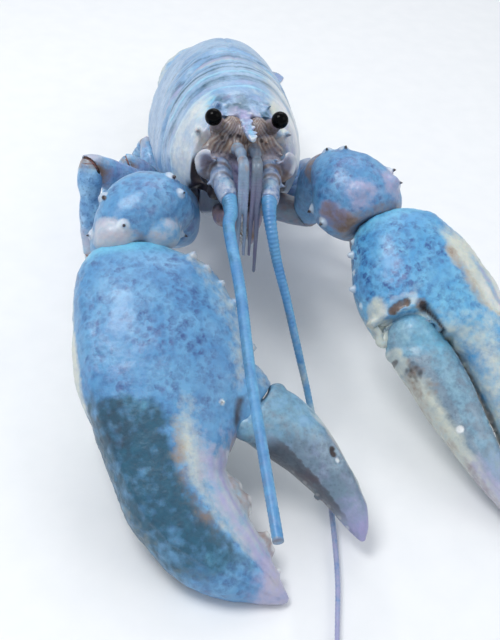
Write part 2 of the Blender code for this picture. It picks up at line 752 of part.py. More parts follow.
def hinged_finger(claw, name, rows, hinge, way):
    """The moving finger, whose flat root faces the palm's socket across a thin gap."""
    way = Vector(way).normalized() * GAP / 2
    rows = [(hinge[0] + way.x, hinge[1] + way.y, *rows[0][2:])] + rows[1:]
    return claw.solid(name, rows, claw.along(way.x, way.y))


def hinge_knob(claw, hinge, way, radius):
    """The knob of the palm that carries the moving finger."""
    way = Vector(way).normalized()
    end = Vector(hinge) - way * GAP / 2
    start = end - way * 16
    middle = end - way * 4
    stations = [
        (claw.at(*start), radius * 1.3, radius * 1.2),
        (claw.at(*middle), radius * 1.15, radius * 1.05),
        (claw.at(*end), radius, radius * 0.88),
    ]
    normal = claw.along(way.x, way.y)
    return thing("knob", tube(stations, claw.up, 14, 2.0, normal, normal), "shell_blue")


def hinge_cut(claw, hinge, way, gape):
    """A block that clears the palm's end for the moving finger, as far as the gape."""
    way = Vector(way).normalized()
    across = Vector((-way.y, way.x))
    reach, depth = 60.0, 30.0
    rings = []
    for ahead, near_side in ((-GAP / 2, -gape), (reach, -gape - reach * way.y)):
        corners = []
        for aside, rise in ((near_side, -depth), (reach, -depth), (reach, depth), (near_side, depth)):
            place = Vector(hinge) + way * ahead + across * aside
            corners.append(claw.at(place.x, place.y, rise))
        rings.append(corners)
    return thing("hinge_cut", loft(rings), "shell_blue")


def edge_of(rows, ahead, side):
    """The claw's edge in its own plane at a distance from the wrist; side is 1 for the inner edge."""
    inward, half_width, _ = along(rows, ahead)
    return inward + side * half_width


def make_crusher():
    """Right claw: broad, with rounded crushing teeth and a gaping moving finger."""
    palm = CRUSHER.solid("crusher_palm", CRUSHER_PALM, CRUSHER.forward)
    pieces = [hinge_knob(CRUSHER, CRUSHER_HINGE, CRUSHER_HINGE_WAY, 10.2)]
    for ahead, length, radius in ((76, 1.6, 2.0), (81, 2.2, 2.6), (87, 2.8, 3.0), (93.5, 3.0, 3.2)):
        inward = edge_of(CRUSHER_PALM, ahead, 1)
        pieces.append(CRUSHER.tooth(ahead, inward - 0.8, (0.1, 1), length, radius))
    for ahead, inward, length in ((100, 25.0, 2.6), (105.5, 27.2, 2.0), (110.5, 28.6, 1.5)):
        pieces.append(CRUSHER.tooth(ahead, inward - 0.8, (-0.5, 1), length, 2.2))
    inward = edge_of(CRUSHER_PALM, 50, 1)
    pieces.append(CRUSHER.tooth(50, inward - 3, (0.2, 1), 4.5, 5.0, tip=0.6))
    for ahead in (9, 16, 24, 34, 43):
        inward = edge_of(CRUSHER_PALM, ahead, 1)
        pieces.append(CRUSHER.tooth(ahead, inward - 1.6, (-0.35, 1, 0.35), 3.4, 2.4, rise=3.0, tip=0.3))
    fuse(palm, pieces)
    finger = hinged_finger(CRUSHER, "crusher_finger", CRUSHER_FINGER, CRUSHER_HINGE, CRUSHER_HINGE_WAY)
    teeth = []
    for ahead, inward, length, radius in (
        (72.5, 34.4, 1.2, 1.6), (76.0, 37.3, 1.3, 1.6), (79.8, 40.4, 1.5, 1.8), (84.0, 43.2, 1.8, 2.0),
        (88.6, 46.2, 3.0, 2.6), (93.0, 48.8, 1.6, 1.7), (96.8, 51.4, 1.4, 1.5), (100.3, 53.2, 1.1, 1.3),
    ):
        teeth.append(CRUSHER.tooth(ahead, inward + 0.9, (0.55, -0.83), length, radius))
    fuse(finger, teeth)
    trim_below_floor(palm)


def make_cutter():
    """Left claw: slimmer, almost shut, with two rows of sharp teeth."""
    palm = CUTTER.upright_solid("cutter_palm", CUTTER_PALM)
    cut(palm, [hinge_cut(CUTTER, CUTTER_HINGE, CUTTER_HINGE_WAY, CUTTER_GAPE)])
    pieces = []
    for i, ahead in enumerate(spread(57, 105, 11)):
        inward = edge_of(CUTTER_PALM, ahead, 1)
        pieces.append(CUTTER.tooth(ahead, inward - 0.6, (0.1, 1), 1.2 + 0.4 * (i % 3 == 1), 1.3, tip=0.25))
    for ahead in (6, 14, 23, 33):
        inward = edge_of(CUTTER_PALM, ahead, 1)
        pieces.append(CUTTER.tooth(ahead, inward - 1.4, (-0.3, 1, 0.3), 3.4, 2.2, rise=2.5, tip=0.2))
    fuse(palm, pieces)
    finger = hinged_finger(CUTTER, "cutter_finger", CUTTER_FINGER, CUTTER_HINGE, CUTTER_HINGE_WAY)
    teeth = []
    for ahead in spread(60, 108, 9):
        inward = edge_of(CUTTER_FINGER, ahead, -1)
        teeth.append(CUTTER.tooth(ahead, inward + 0.9, (0.1, -1), 0.9, 1.2, tip=0.3))
    fuse(finger, teeth)
    trim_below_floor(palm)


# Arms: shoulder, upper arm and wrist of each claw
ARM_JOINTS = {
    "crusher": [Vector((-19.5, 11.0, 34.0)), Vector((-27.5, -5.0, 54.0))],
    "cutter": [Vector((32.0, 22.0, 35.0)), Vector((34.0, 11.0, 62.0))],
}
SHOULDER_BEND = {"crusher": Vector((-19.5, 22.0, 34.5)), "cutter": Vector((21.5, 26.0, 35.5))}
SHOULDER_BACK = 29.0
SHOULDER_GIRTHS = [5.3, 5.8, 6.0, 5.8, 5.6, 5.2]
UPPER_ARM = [(0, 5.3, 5.3), (0.24, 7.0, 7.4), (0.5, 8.2, 8.8), (0.74, 9.0, 9.6), (1, 7.5, 7.8)]
ARM_GIRTH = {"crusher": 1.28, "cutter": 1.0}
WRIST_BOW = {"crusher": 8.0, "cutter": 2.5}  # how far the wrist is arched upward
WRIST = [
    (0, 7.4, 7.6), (0.3, 13.0, 13.0), (0.52, 15.8, 15.2), (0.78, 15.8, 14.5), (0.92, 13.8, 12.5),
    (1, 11.5, 10.5),
]


def make_arm(claw, kind, wrist_spines):
    """Shoulder, upper arm and the broad spiny wrist that carries a claw."""
    side = 1 if claw.wrist.x > 0 else -1
    hip = body(side * (BREAST_HALF_WIDTH + GAP), SHOULDER_BACK, HIP_RISE)
    joints = [hip] + ARM_JOINTS[kind] + [claw.wrist]
    bend = joint_normal(SHOULDER_BEND[kind], joints[1], joints[2])
    centres = curve_through([hip, SHOULDER_BEND[kind], joints[1] - bend * GAP / 2], len(SHOULDER_GIRTHS))
    stations = [(centre, girth, girth) for centre, girth in zip(centres, SHOULDER_GIRTHS)]
    way = Vector((side, 0, 0))
    thing(kind + "_shoulder", tube(stations, UP, 12, 2.0, way, bend), "joint_tan")
    joints[0] = SHOULDER_BEND[kind]
    profile = [(share, a * ARM_GIRTH[kind], b * ARM_GIRTH[kind]) for share, a, b in UPPER_ARM]
    make_limb(kind + "_arm", joints, 1, profile, 12, "shell_blue")
    normal = joint_normal(joints[1], joints[2], joints[3])
    start = joints[2] + normal * GAP / 2
    end = claw.wrist - claw.forward * GAP
    rings = []
    for share, half_width, half_height in WRIST:
        centre = start.lerp(end, share) + Vector((0, 0, WRIST_BOW[kind] * math.sin(math.pi * share)))
        facing = normal.lerp(claw.forward, smooth_step(0, 0.85, share))
        rings.append(ring(centre, facing, UP, half_width, half_height, 16, 2.2))
    wrist = thing(kind + "_wrist", loft(rings), "shell_blue")
    middle = start.lerp(end, 0.5)
    spines = []
    forward = (end - start).normalized()
    for outward, ahead, length in wrist_spines:
        way = Vector(outward).normalized()
        inside = middle + forward * ahead
        place, _ = seat(wrist, inside + way * 60, inside)
        spines.append(cone(place, way * 0.8 + forward * 0.5, length, 2.4, sink=0.6))
    fuse(wrist, spines)


# Direction from the wrist's middle line, distance ahead of its middle, length
CRUSHER_WRIST_SPINES = [
    ((0.75, 0, 0.7), -4, 3.2), ((0.9, -0.1, 0.3), 5, 3.2), ((-0.9, 0, 0.6), -3, 3.2),
    ((-0.3, 0, 1), 5, 3.6), ((0.25, 0, 1), 7, 3.6), ((-1, 0, 0.05), 5, 3.0),
]
CUTTER_WRIST_SPINES = [
    ((0.0, 0.3, 1), -7, 3.4), ((0.5, 0.2, 1), 3, 3.4), ((0.9, 0, 0.5), 5, 3.6),
    ((-0.8, 0, 0.6), 6, 3.0), ((-0.5, 0, 0.9), 6, 3.2),
]


# Tail: six rings of shell that lap over one another, then the fan

TAIL_RISE = 22.0  # height of the tail's middle line where it leaves the shell
# Distance back along the tail, then how steeply it falls and how far it turns aside, in degrees
TAIL_LINE = [
    (0, 16, 0), (8, 18, 3), (18, 21, 7), (32, 24, 10), (50, 25, 12), (66, 22, 12), (80, 16, 12), (90, 10, 12),
]
# Distance back, half width, height over the middle, drop of the side flaps under it
TAIL_SECTIONS = [
    (0, 24.8, 19.5, 12.0), (16, 25.2, 18.6, 15.5), (40, 25.0, 17.5, 16.0), (65, 23.5, 15.0, 13.0),
    (90, 19.5, 11.5, 8.0),
]
SOMITE_LENGTHS = [9.0, 16.0, 16.0, 16.0, 16.0, 17.0]
LAP_STEP = 1.5  # how much each ring's rear edge stands over the next one's front
# Share of a ring's length, swelling, share of the full depth of its flaps
SOMITE_FORM = [
    (0, 0, 0.35), (0.18, 0.2, 0.62), (0.45, 0.6, 0.92), (0.72, 1, 1), (0.9, LAP_STEP * 0.9, 0.8),
    (1, LAP_STEP, 0.45),
]
BELLY_DROP = 4.0  # how far the belly lies under the tail's middle line
PADDLE_FORM = [(0, 2.0, 1.0), (0.45, 3.0, 0.7), (0.85, 2.2, 0.5), (1, 0.8, 0.35)]  # under rings 2 to 5
TAIL_GAP = 0.75  # between the carapace and the first ring, where their edges slope
TAIL_STEP = 1.0


def tail_directions(distance):
    """Unit vectors backward, aside to the left and upward at a distance along the tail."""
    fall, turn = [math.radians(angle) for angle in along(TAIL_LINE, distance)]
    backward = Vector((math.sin(turn) * math.cos(fall), math.cos(turn) * math.cos(fall), -math.sin(fall)))
    aside = Vector((math.cos(turn), -math.sin(turn), 0))
    return backward, aside, aside.cross(backward)


def tail_point(distance, side, rise, forward=0.0):
    """A point of the tail by distance back along its middle line."""
    place = body(0, CARAPACE_LENGTH + TAIL_GAP, TAIL_RISE)
    travelled = 0.0
    while travelled < distance:
        step = min(TAIL_STEP, distance - travelled)
        place = place + tail_directions(travelled + step / 2)[0] * step
        travelled += step
    backward, aside, upward = tail_directions(distance)
    return place + aside * side + upward * rise - backward * forward


def somite_ring(distance, swell, flap, notch):
    """A tail ring's section: arched back, side flaps that hang by flap, and a hollow belly."""
    half_width, top, drop = along(TAIL_SECTIONS, distance)
    half_width, top = half_width + swell, top + swell
    low = -drop * flap
    points = []
    for i in range(17):
        turn = math.pi * i / 16
        side = -half_width * math.copysign(abs(math.cos(turn)) ** 0.95, math.cos(turn))
        points.append(tail_point(distance, side, top * math.sin(turn) ** 0.95, notch * math.sin(turn) ** 2))
    flank = [(0.97, low * 0.6), (0.90, low), (0.80, low), (0.76, (low - BELLY_DROP) / 2), (0.5, -BELLY_DROP)]
    belly = flank + [(0, -BELLY_DROP)] + [(-share, rise) for share, rise in reversed(flank)]
    points += [tail_point(distance, half_width * share, rise) for share, rise in belly]
    return points


def make_somite(number, start, length):
    """One ring of the tail; its flaps end in a point at the rear."""
    end = start + length - GAP
    rings = []
    for share, swell, flap in SOMITE_FORM:
        notch = REAR_NOTCH * (1 - share) if number == 1 else 0.0
        rings.append(somite_ring(start + share * (end - start), swell, flap, notch))
    ring_object = thing(f"tail_ring_{number}", loft(rings), "shell_pale")
    if 2 <= number <= 5:
        paddles = []
        for side in (-1, 1):
            middle = start + length * 0.45
            root = tail_point(middle, side * 9, -BELLY_DROP + 1.5)
            tip = tail_point(middle + 6, side * 12, -BELLY_DROP - 6.5)
            paddle = [(root.lerp(tip, share), a, b) for share, a, b in PADDLE_FORM]
            paddles.append(thing("paddle", tube(paddle, Vector((0, 0.6, 0.8)), 8), "joint_tan"))
        fuse(ring_object, paddles)
    return ring_object


FAN_START = sum(SOMITE_LENGTHS)
FAN_ROOT_THICKNESS = 2.6
FAN_EDGE_THICKNESS = 1.1
# Name, distance of its root aside, turn outward in degrees, rise of its root, height of its end, length,
# and half widths
FAN_BLADES = [
    ("telson", 0.0, 0.0, 5.2, 3.65, 40.0, (8.0, 9.5, 8.5)),
    ("tail_blade_inner", 9.5, 7.0, 1.2, 2.05, 40.0, (3.6, 9.0, 9.5)),
    ("tail_blade_outer", 13.5, 15.0, -2.6, 0.45, 40.0, (3.2, 9.5, 10.0)),
]
# Share of a blade's length, share of its widening, share of its width kept at the rounded end
BLADE_FORM = [
    (0, 0, 1), (0.12, 0.35, 1), (0.3, 0.75, 1), (0.5, 1, 1), (0.72, 1, 1), (0.87, 1, 0.97), (0.96, 1, 0.8),
    (1, 1, 0.5),
]


def make_blade(name, side, root_aside, turn, root_rise, end_height, length, half_widths):
    """One blade of the tail fan, sloping from the last ring down to the floor."""
    backward, aside, _ = tail_directions(FAN_START)
    turn = math.radians(turn) * side
    level = Vector((backward.x, backward.y, 0)).normalized()
    way = level * math.cos(turn) + aside * math.sin(turn)
    root = tail_point(FAN_START, side * root_aside, root_rise)
    near, middle, far = half_widths
    stations = []
    for share, widening, kept in BLADE_FORM:
        half_width = near + (middle - near) * widening
        if share > 0.5:
            half_width = middle + (far - middle) * (share - 0.5) * 2
        height = root.z + (end_height - root.z) * smooth_step(-0.1, 0.85, share)
        centre = root + way * length * share
        thickness = FAN_ROOT_THICKNESS + (FAN_EDGE_THICKNESS - FAN_ROOT_THICKNESS) * min(1.0, share * 1.4)
        stations.append((Vector((centre.x, centre.y, height)), half_width * kept, thickness / 2))
    trim_below_floor(thing(name, tube(stations, UP, 12, 2.6, backward), "shell_pale"))


def make_fan():
    for name, *form in FAN_BLADES:
        if name == "telson":
            make_blade(name, 0, *form)
        else:
            make_blade(name + "_right", -1, *form)
            make_blade(name + "_left", 1, *form)


def make_tail():
    start = 0.0
    for number, length in enumerate(SOMITE_LENGTHS, 1):
        make_somite(number, start, length)
        start += length
    make_fan()


def make_lobster():
    make_carapace()
    make_face()
    make_sternum()
    for side, side_name in ((-1, "right"), (1, "left")):
        make_eye(side, "eye_" + side_name)
        make_antenna_base(side, "antenna_base_" + side_name)
        make_antennule(side, "antennule_" + side_name)
        make_maxilliped(side, "maxilliped_" + side_name)
        for number in HIP_BACK:
            make_leg(side, number, side_name)
    make_antennae()
    make_crusher()
    make_cutter()
    make_arm(CRUSHER, "crusher", CRUSHER_WRIST_SPINES)
    make_arm(CUTTER, "cutter", CUTTER_WRIST_SPINES)
    make_tail()


make_lobster()
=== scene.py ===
import math

import bmesh
import bpy
import numpy as np
from mathutils import Matrix, Vector, noise


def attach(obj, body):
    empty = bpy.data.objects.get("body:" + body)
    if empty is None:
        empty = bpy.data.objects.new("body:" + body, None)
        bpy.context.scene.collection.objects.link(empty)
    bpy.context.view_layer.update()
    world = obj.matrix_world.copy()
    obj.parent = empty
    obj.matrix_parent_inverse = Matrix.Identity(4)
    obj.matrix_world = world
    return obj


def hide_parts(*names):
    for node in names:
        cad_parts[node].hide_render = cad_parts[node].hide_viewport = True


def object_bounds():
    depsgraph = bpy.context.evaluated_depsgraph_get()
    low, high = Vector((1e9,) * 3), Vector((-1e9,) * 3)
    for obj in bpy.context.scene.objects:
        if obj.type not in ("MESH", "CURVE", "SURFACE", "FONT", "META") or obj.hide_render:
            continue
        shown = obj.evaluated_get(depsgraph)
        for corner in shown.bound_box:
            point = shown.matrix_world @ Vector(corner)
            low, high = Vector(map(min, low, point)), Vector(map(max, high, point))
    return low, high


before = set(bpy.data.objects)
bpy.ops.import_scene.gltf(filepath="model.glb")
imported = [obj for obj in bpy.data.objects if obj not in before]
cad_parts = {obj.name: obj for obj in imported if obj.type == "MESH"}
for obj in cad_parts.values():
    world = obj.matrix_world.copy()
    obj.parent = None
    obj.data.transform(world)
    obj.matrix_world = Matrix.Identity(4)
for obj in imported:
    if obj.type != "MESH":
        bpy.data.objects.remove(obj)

solid_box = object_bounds()

# Camera: held above and in front of the animal, a little to its right, looking down on the head
# and both claws with the horizon tilted, as the picture was taken.
CAMERA_PLACE = Vector((-0.06475, -0.27138, 0.23896))
CAMERA_HEADING = math.radians(11.29)  # from +Y towards +X
CAMERA_FALL = math.radians(41.21)
CAMERA_ROLL = math.radians(8.28)
LENS = 50.17  # on the usual 36 mm sensor

UP = Vector((0, 0, 1))
ahead = Vector((math.sin(CAMERA_HEADING) * math.cos(CAMERA_FALL),
                math.cos(CAMERA_HEADING) * math.cos(CAMERA_FALL),
                -math.sin(CAMERA_FALL)))
level = ahead.cross(UP).normalized()
upright = level.cross(ahead)
across = level * math.cos(CAMERA_ROLL) + upright * math.sin(CAMERA_ROLL)
upright = upright * math.cos(CAMERA_ROLL) - level * math.sin(CAMERA_ROLL)
turned = Matrix((across, upright, -ahead)).transposed().to_4x4()

bpy.ops.object.select_all(action="DESELECT")
bpy.ops.object.camera_add()
camera = bpy.context.object
camera.data.lens = LENS
camera.data.clip_start = 0.01
camera.matrix_world = Matrix.Translation(CAMERA_PLACE) @ turned
bpy.context.scene.camera = camera


# Studio: a plain pale floor under large soft lamps, with a bright even room all round, as when a
# small object is photographed on white paper.
FLOOR_COLOUR = "#f4f5f6"
ROOM_COLOUR = "#eef3fa"
ROOM_STRENGTH = 0.62


def linear(code):
    """An sRGB hex colour as the linear red, green, blue and alpha that a shader takes."""
    parts = [int(code[i:i + 2], 16) / 255 for i in (1, 3, 5)]
    return (*[p / 12.92 if p <= 0.04045 else ((p + 0.055) / 1.055) ** 2.4 for p in parts], 1.0)


def node(tree, kind, settings=None, links=None):
    """Adds a node, sets its properties, stops or sockets, and joins other nodes' outputs to it."""
    made = tree.nodes.new("ShaderNode" + kind)
    for name, value in (settings or {}).items():
        if name == "stops":
            while len(made.color_ramp.elements) < len(value):
                made.color_ramp.elements.new(0.5)
            for stop, (place, colour) in zip(made.color_ramp.elements, value):
                stop.position = place
                stop.color = colour
        elif isinstance(name, str) and name.islower() and hasattr(made, name):
            setattr(made, name, value)
        else:
            made.inputs[name].default_value = value
    for name, output in (links or {}).items():
        tree.links.new(output, made.inputs[name])
    return made


def surface(tree, settings, links):
    """Ends a material with its one surface."""
    shader = node(tree, "BsdfPrincipled", settings, links)
    node(tree, "OutputMaterial", links={"Surface": shader.outputs["BSDF"]})


def empty_material(name):
    """A new material without any nodes."""
    material = bpy.data.materials.new(name)
    material.use_nodes = True
    material.node_tree.nodes.clear()
    return material


paper = empty_material("matt_white_paper")
tree = paper.node_tree
place = node(tree, "TexCoord")
fibres = node(tree, "TexNoise", {"Scale": 90.0, "Detail": 3.0}, {"Vector": place.outputs["Object"]})
colour = node(tree, "MixRGB", {"Color1": linear(FLOOR_COLOUR), "Color2": linear("#eceef0")},
              {"Fac": fibres.outputs["Fac"]})
surface(tree, {"Roughness": 0.8}, {"Base Color": colour.outputs["Color"]})

bpy.ops.mesh.primitive_plane_add(size=8)
floor = bpy.context.object
floor.name = "floor"
floor.data.materials.append(paper)

room = bpy.data.worlds.new("bright_room")
bpy.context.scene.world = room
room.use_nodes = True
room.node_tree.nodes["Background"].inputs["Color"].default_value = linear(ROOM_COLOUR)
room.node_tree.nodes["Background"].inputs["Strength"].default_value = ROOM_STRENGTH

bpy.context.scene.view_settings.view_transform = "Standard"

# Place, size and power of each soft lamp
for place, size, watts in (
    ((-0.32, -0.05, 0.70), 0.30, 2.9),
    ((0.55, -0.30, 0.60), 0.50, 0.9),
    ((0.10, 0.60, 0.70), 0.50, 1.3),
):
    bpy.ops.object.light_add(type="AREA", location=place)
    lamp = bpy.context.object
    lamp.data.size = size
    lamp.data.energy = watts
    lamp.rotation_euler = (Vector((0, -0.05, 0.03)) - lamp.location).to_track_quat("-Z", "Y").to_euler()


# Carapace: the one-piece shield over head and thorax, a hard calcified shell a millimetre or two
# thick, with the neck groove across it and a spined beak between the eyes. It is cast whole here,
# in millimetres in the animal's frame, and melted into one even skin.
METRE = 1000.0  # in millimetres
MIDDLE = Vector((21.362, 0.0625, 0.0))  # the origin, in the animal's own frame
BODY_PITCH = math.radians(16)
SOCKET_HEIGHT = 50.0
CARAPACE_LENGTH = 100.0
WALL = 3.0
CEILING = 10.0
CARAPACE_VOXEL = 0.6
# Back from the eye sockets, height of the back, half width, height of the widest place, lower edge
CARAPACE_SECTIONS = [
    (-1, 37.0, 17.5, 20, 11.0), (3, 39.0, 19.5, 19, 8.0), (10, 42.0, 22.5, 17.5, 5.0),
    (22, 46.0, 26.0, 14, 1.5), (36, 48.8, 28.3, 11, -0.5), (50, 50.5, 29.3, 9, -1.5),
    (66, 51.2, 30.0, 8, -1.5), (80, 50.8, 30.8, 8, -0.5), (91, 49.0, 30.5, 8, 1.0),
    (CARAPACE_LENGTH, 46.0, 28.5, 8.5, 3.5),
]
DOME_SHARE = 0.64
EDGE_INSET = 0.88
DOME_POWER = 1.97
REAR_NOTCH = 3.5
HALF_WIDTH = 30.0
NECK = 53.0  # how far back the neck groove crosses the middle of the back
NECK_SWEEP = 24.0  # how much farther forward it lies at the sides
REAR_BAND = 93.5
GROWTH_STEP = 3.1  # from one growth line to the next
# Forward from the sockets, half width, height of its top, thickness
BEAK_SECTIONS = [
    (-16, 7.5, 40.3, 6.0), (-9, 4.9, 40.0, 6.0), (-3, 3.1, 39.2, 5.9), (3, 2.1, 38.0, 5.2),
    (10, 1.6, 36.7, 4.5), (17, 1.3, 35.9, 3.9), (24, 1.0, 35.7, 3.0), (29, 0.7, 36.2, 2.0),
    (31.4, 0.4, 36.8, 0.9),
]


def body(side, back, rise):
    """A point of the pitched body: across, back from the eye sockets, and up from the lower edge."""
    return Vector((
        side,
        back * math.cos(BODY_PITCH) + rise * math.sin(BODY_PITCH),
        SOCKET_HEIGHT - back * math.sin(BODY_PITCH) + rise * math.cos(BODY_PITCH),
    ))


def body_way(side, back, rise):
    """A direction of the pitched body."""
    return body(side, back, rise) - body(0, 0, 0)


def body_places(points):
    """Points of the animal's frame as rows of across, back and up in the pitched body."""
    far, high = points[:, 1], points[:, 2] - SOCKET_HEIGHT
    back = far * math.cos(BODY_PITCH) - high * math.sin(BODY_PITCH)
    rise = far * math.sin(BODY_PITCH) + high * math.cos(BODY_PITCH)
    return points[:, 0], back, rise


def fade(start, end, value):
    """Rises smoothly from 0 at start to 1 at end."""
    share = np.clip((value - start) / (end - start), 0, 1)
    return share * share * (3 - 2 * share)


def bell(value, centre, breadth):
    """1 where value is centre, falling off smoothly to both sides."""
    return np.exp(-(((value - centre) / breadth) ** 2))


def smooth_reading(table):
    """A function that reads a table by its rising first column, on smooth curves through its rows."""
    rows = np.array(table, float)
    key, values = rows[:, 0], rows[:, 1:]
    step = np.diff(key)[:, None]
    slope = np.diff(values, axis=0) / step
    inner = (slope[:-1] * step[1:] + slope[1:] * step[:-1]) / (step[1:] + step[:-1])
    lean = np.vstack([slope[:1], inner, slope[-1:]])

    def read(value):
        k = int(np.clip(np.searchsorted(key, value) - 1, 0, len(key) - 2))
        h = key[k + 1] - key[k]
        t = float(np.clip((value - key[k]) / h, 0, 1))
        near = (2 * t ** 3 - 3 * t ** 2 + 1) * values[k] + (t ** 3 - 2 * t ** 2 + t) * h * lean[k]
        far = (3 * t ** 2 - 2 * t ** 3) * values[k + 1] + (t ** 3 - t ** 2) * h * lean[k + 1]
        return near + far

    return read


def lofted(name, *bodies):
    """One object of closed bodies, each through rings of equally many points in the animal's frame."""
    mesh = bmesh.new()
    for rings in bodies:
        loops = [[mesh.verts.new((Vector(point) - MIDDLE) / METRE) for point in ring] for ring in rings]
        for near, far in zip(loops, loops[1:]):
            for i in range(len(near)):
                j = (i + 1) % len(near)
                mesh.faces.new((near[i], near[j], far[j], far[i]))
        mesh.faces.new(loops[0][::-1])
        mesh.faces.new(loops[-1])
    bmesh.ops.recalc_face_normals(mesh, faces=mesh.faces)
    data = bpy.data.meshes.new(name)
    mesh.to_mesh(data)
    mesh.free()
    made = bpy.data.objects.new(name, data)
    bpy.context.scene.collection.objects.link(made)
    return made


def spike(root, way, length, radius, sink=0.5, tip=0.18):
    """A tapered spine standing on root, its foot sunk in."""
    way = Vector(way).normalized()
    middle = Vector(root) + way * (length * (1 - sink) / 2)
    bpy.ops.mesh.primitive_cone_add(
        vertices=20, radius1=radius / METRE, radius2=radius * tip / METRE, depth=length * (1 + sink) / METRE,
        location=(middle - MIDDLE) / METRE, rotation=way.to_track_quat("Z", "Y").to_euler(),
    )
    return bpy.context.object


def melt(core, parts, voxel, passes):
    """Joins parts to core, remakes all as one skin of even small faces, and softens its creases."""
    bpy.ops.object.select_all(action="DESELECT")
    for part in [core] + parts:
        part.select_set(True)
    bpy.context.view_layer.objects.active = core
    if parts:
        bpy.ops.object.join()
    remake = core.modifiers.new("remake", "REMESH")
    remake.mode = "VOXEL"
    remake.voxel_size = voxel / METRE
    remake.use_smooth_shade = True
    bpy.ops.object.modifier_apply(modifier="remake")
    soften = core.modifiers.new("soften", "SMOOTH")
    soften.factor = 0.5
    soften.iterations = passes
    bpy.ops.object.modifier_apply(modifier="soften")
    return core


def points_of(piece):
    """A piece's points in millimetres in the animal's frame, one to a row."""
    flat = np.empty(len(piece.data.vertices) * 3, np.float32)
    piece.data.vertices.foreach_get("co", flat)
    return flat.reshape(-1, 3).astype(float) * METRE + np.array(MIDDLE)


def normals_of(piece):
    """The outward direction at each of a piece's points, one to a row."""
    flat = np.empty(len(piece.data.vertices) * 3, np.float32)
    piece.data.vertex_normals.foreach_get("vector", flat)
    return flat.reshape(-1, 3).astype(float)


def move_to(piece, points):
    """Puts a piece's points at these places, in millimetres in the animal's frame."""
    local = ((points - np.array(MIDDLE)) / METRE).astype(np.float32)
    piece.data.vertices.foreach_set("co", local.ravel())
    piece.data.update()


def lift(piece, heights):
    """Moves each point out along its normal by its own height in millimetres."""
    move_to(piece, points_of(piece) + normals_of(piece) * heights[:, None])


def lumps(points, size, seed=0.0):
    """Soft random heights from -1 to 1 over the points, as wide as size in millimetres."""
    shift = Vector((seed, seed * 0.7, seed * 1.3))
    return np.array([noise.noise(Vector(point) / size + shift) for point in points])


def waves(points, *sizes):
    """Lumps of several sizes together, each given as (height, size, seed)."""
    return sum(height * lumps(points, size, seed) for height, size, seed in sizes)


def near_any(columns, spots, radius):
    """1 at each of the spots, falling to 0 at its radius."""
    found = np.zeros(len(columns[0]))
    for spot in spots:
        apart = sum((column - value) ** 2 for column, value in zip(columns, spot)) ** 0.5
        found = np.maximum(found, fade(radius, radius * 0.5, apart))
    return found


MASKS = ("cream", "deep", "lilac", "tan", "cyan", "mottled", "white", "black")


def paint(piece, **amounts):
    """Stores on each point how far, from 0 to 1, the shell turns to each of its other colours."""
    table = np.zeros((len(piece.data.vertices), len(MASKS)), np.float32)
    for i, mask in enumerate(MASKS):
        table[:, i] = np.clip(amounts.get(mask, 0.0), 0, 1)
    for name, part in (("paint", table[:, :4]), ("stain", table[:, 4:])):
        layer = piece.data.attributes.new(name, "FLOAT_COLOR", "POINT")
        layer.data.foreach_set("color", np.ascontiguousarray(part).ravel())


def fix(piece, material, slot, *nodes):
    """Gives a finished piece its material and its place on the animal, inside the solids' own box."""
    flat = np.empty(len(piece.data.vertices) * 3, np.float32)
    piece.data.vertices.foreach_get("co", flat)
    kept = np.clip(flat.reshape(-1, 3), solid_box[0], solid_box[1]).astype(np.float32)
    piece.data.vertices.foreach_set("co", kept.ravel())
    piece.data.materials.clear()
    piece.data.materials.append(material)
    piece.data.shade_smooth()
    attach(piece, "root")
    if nodes:
        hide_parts(*nodes)


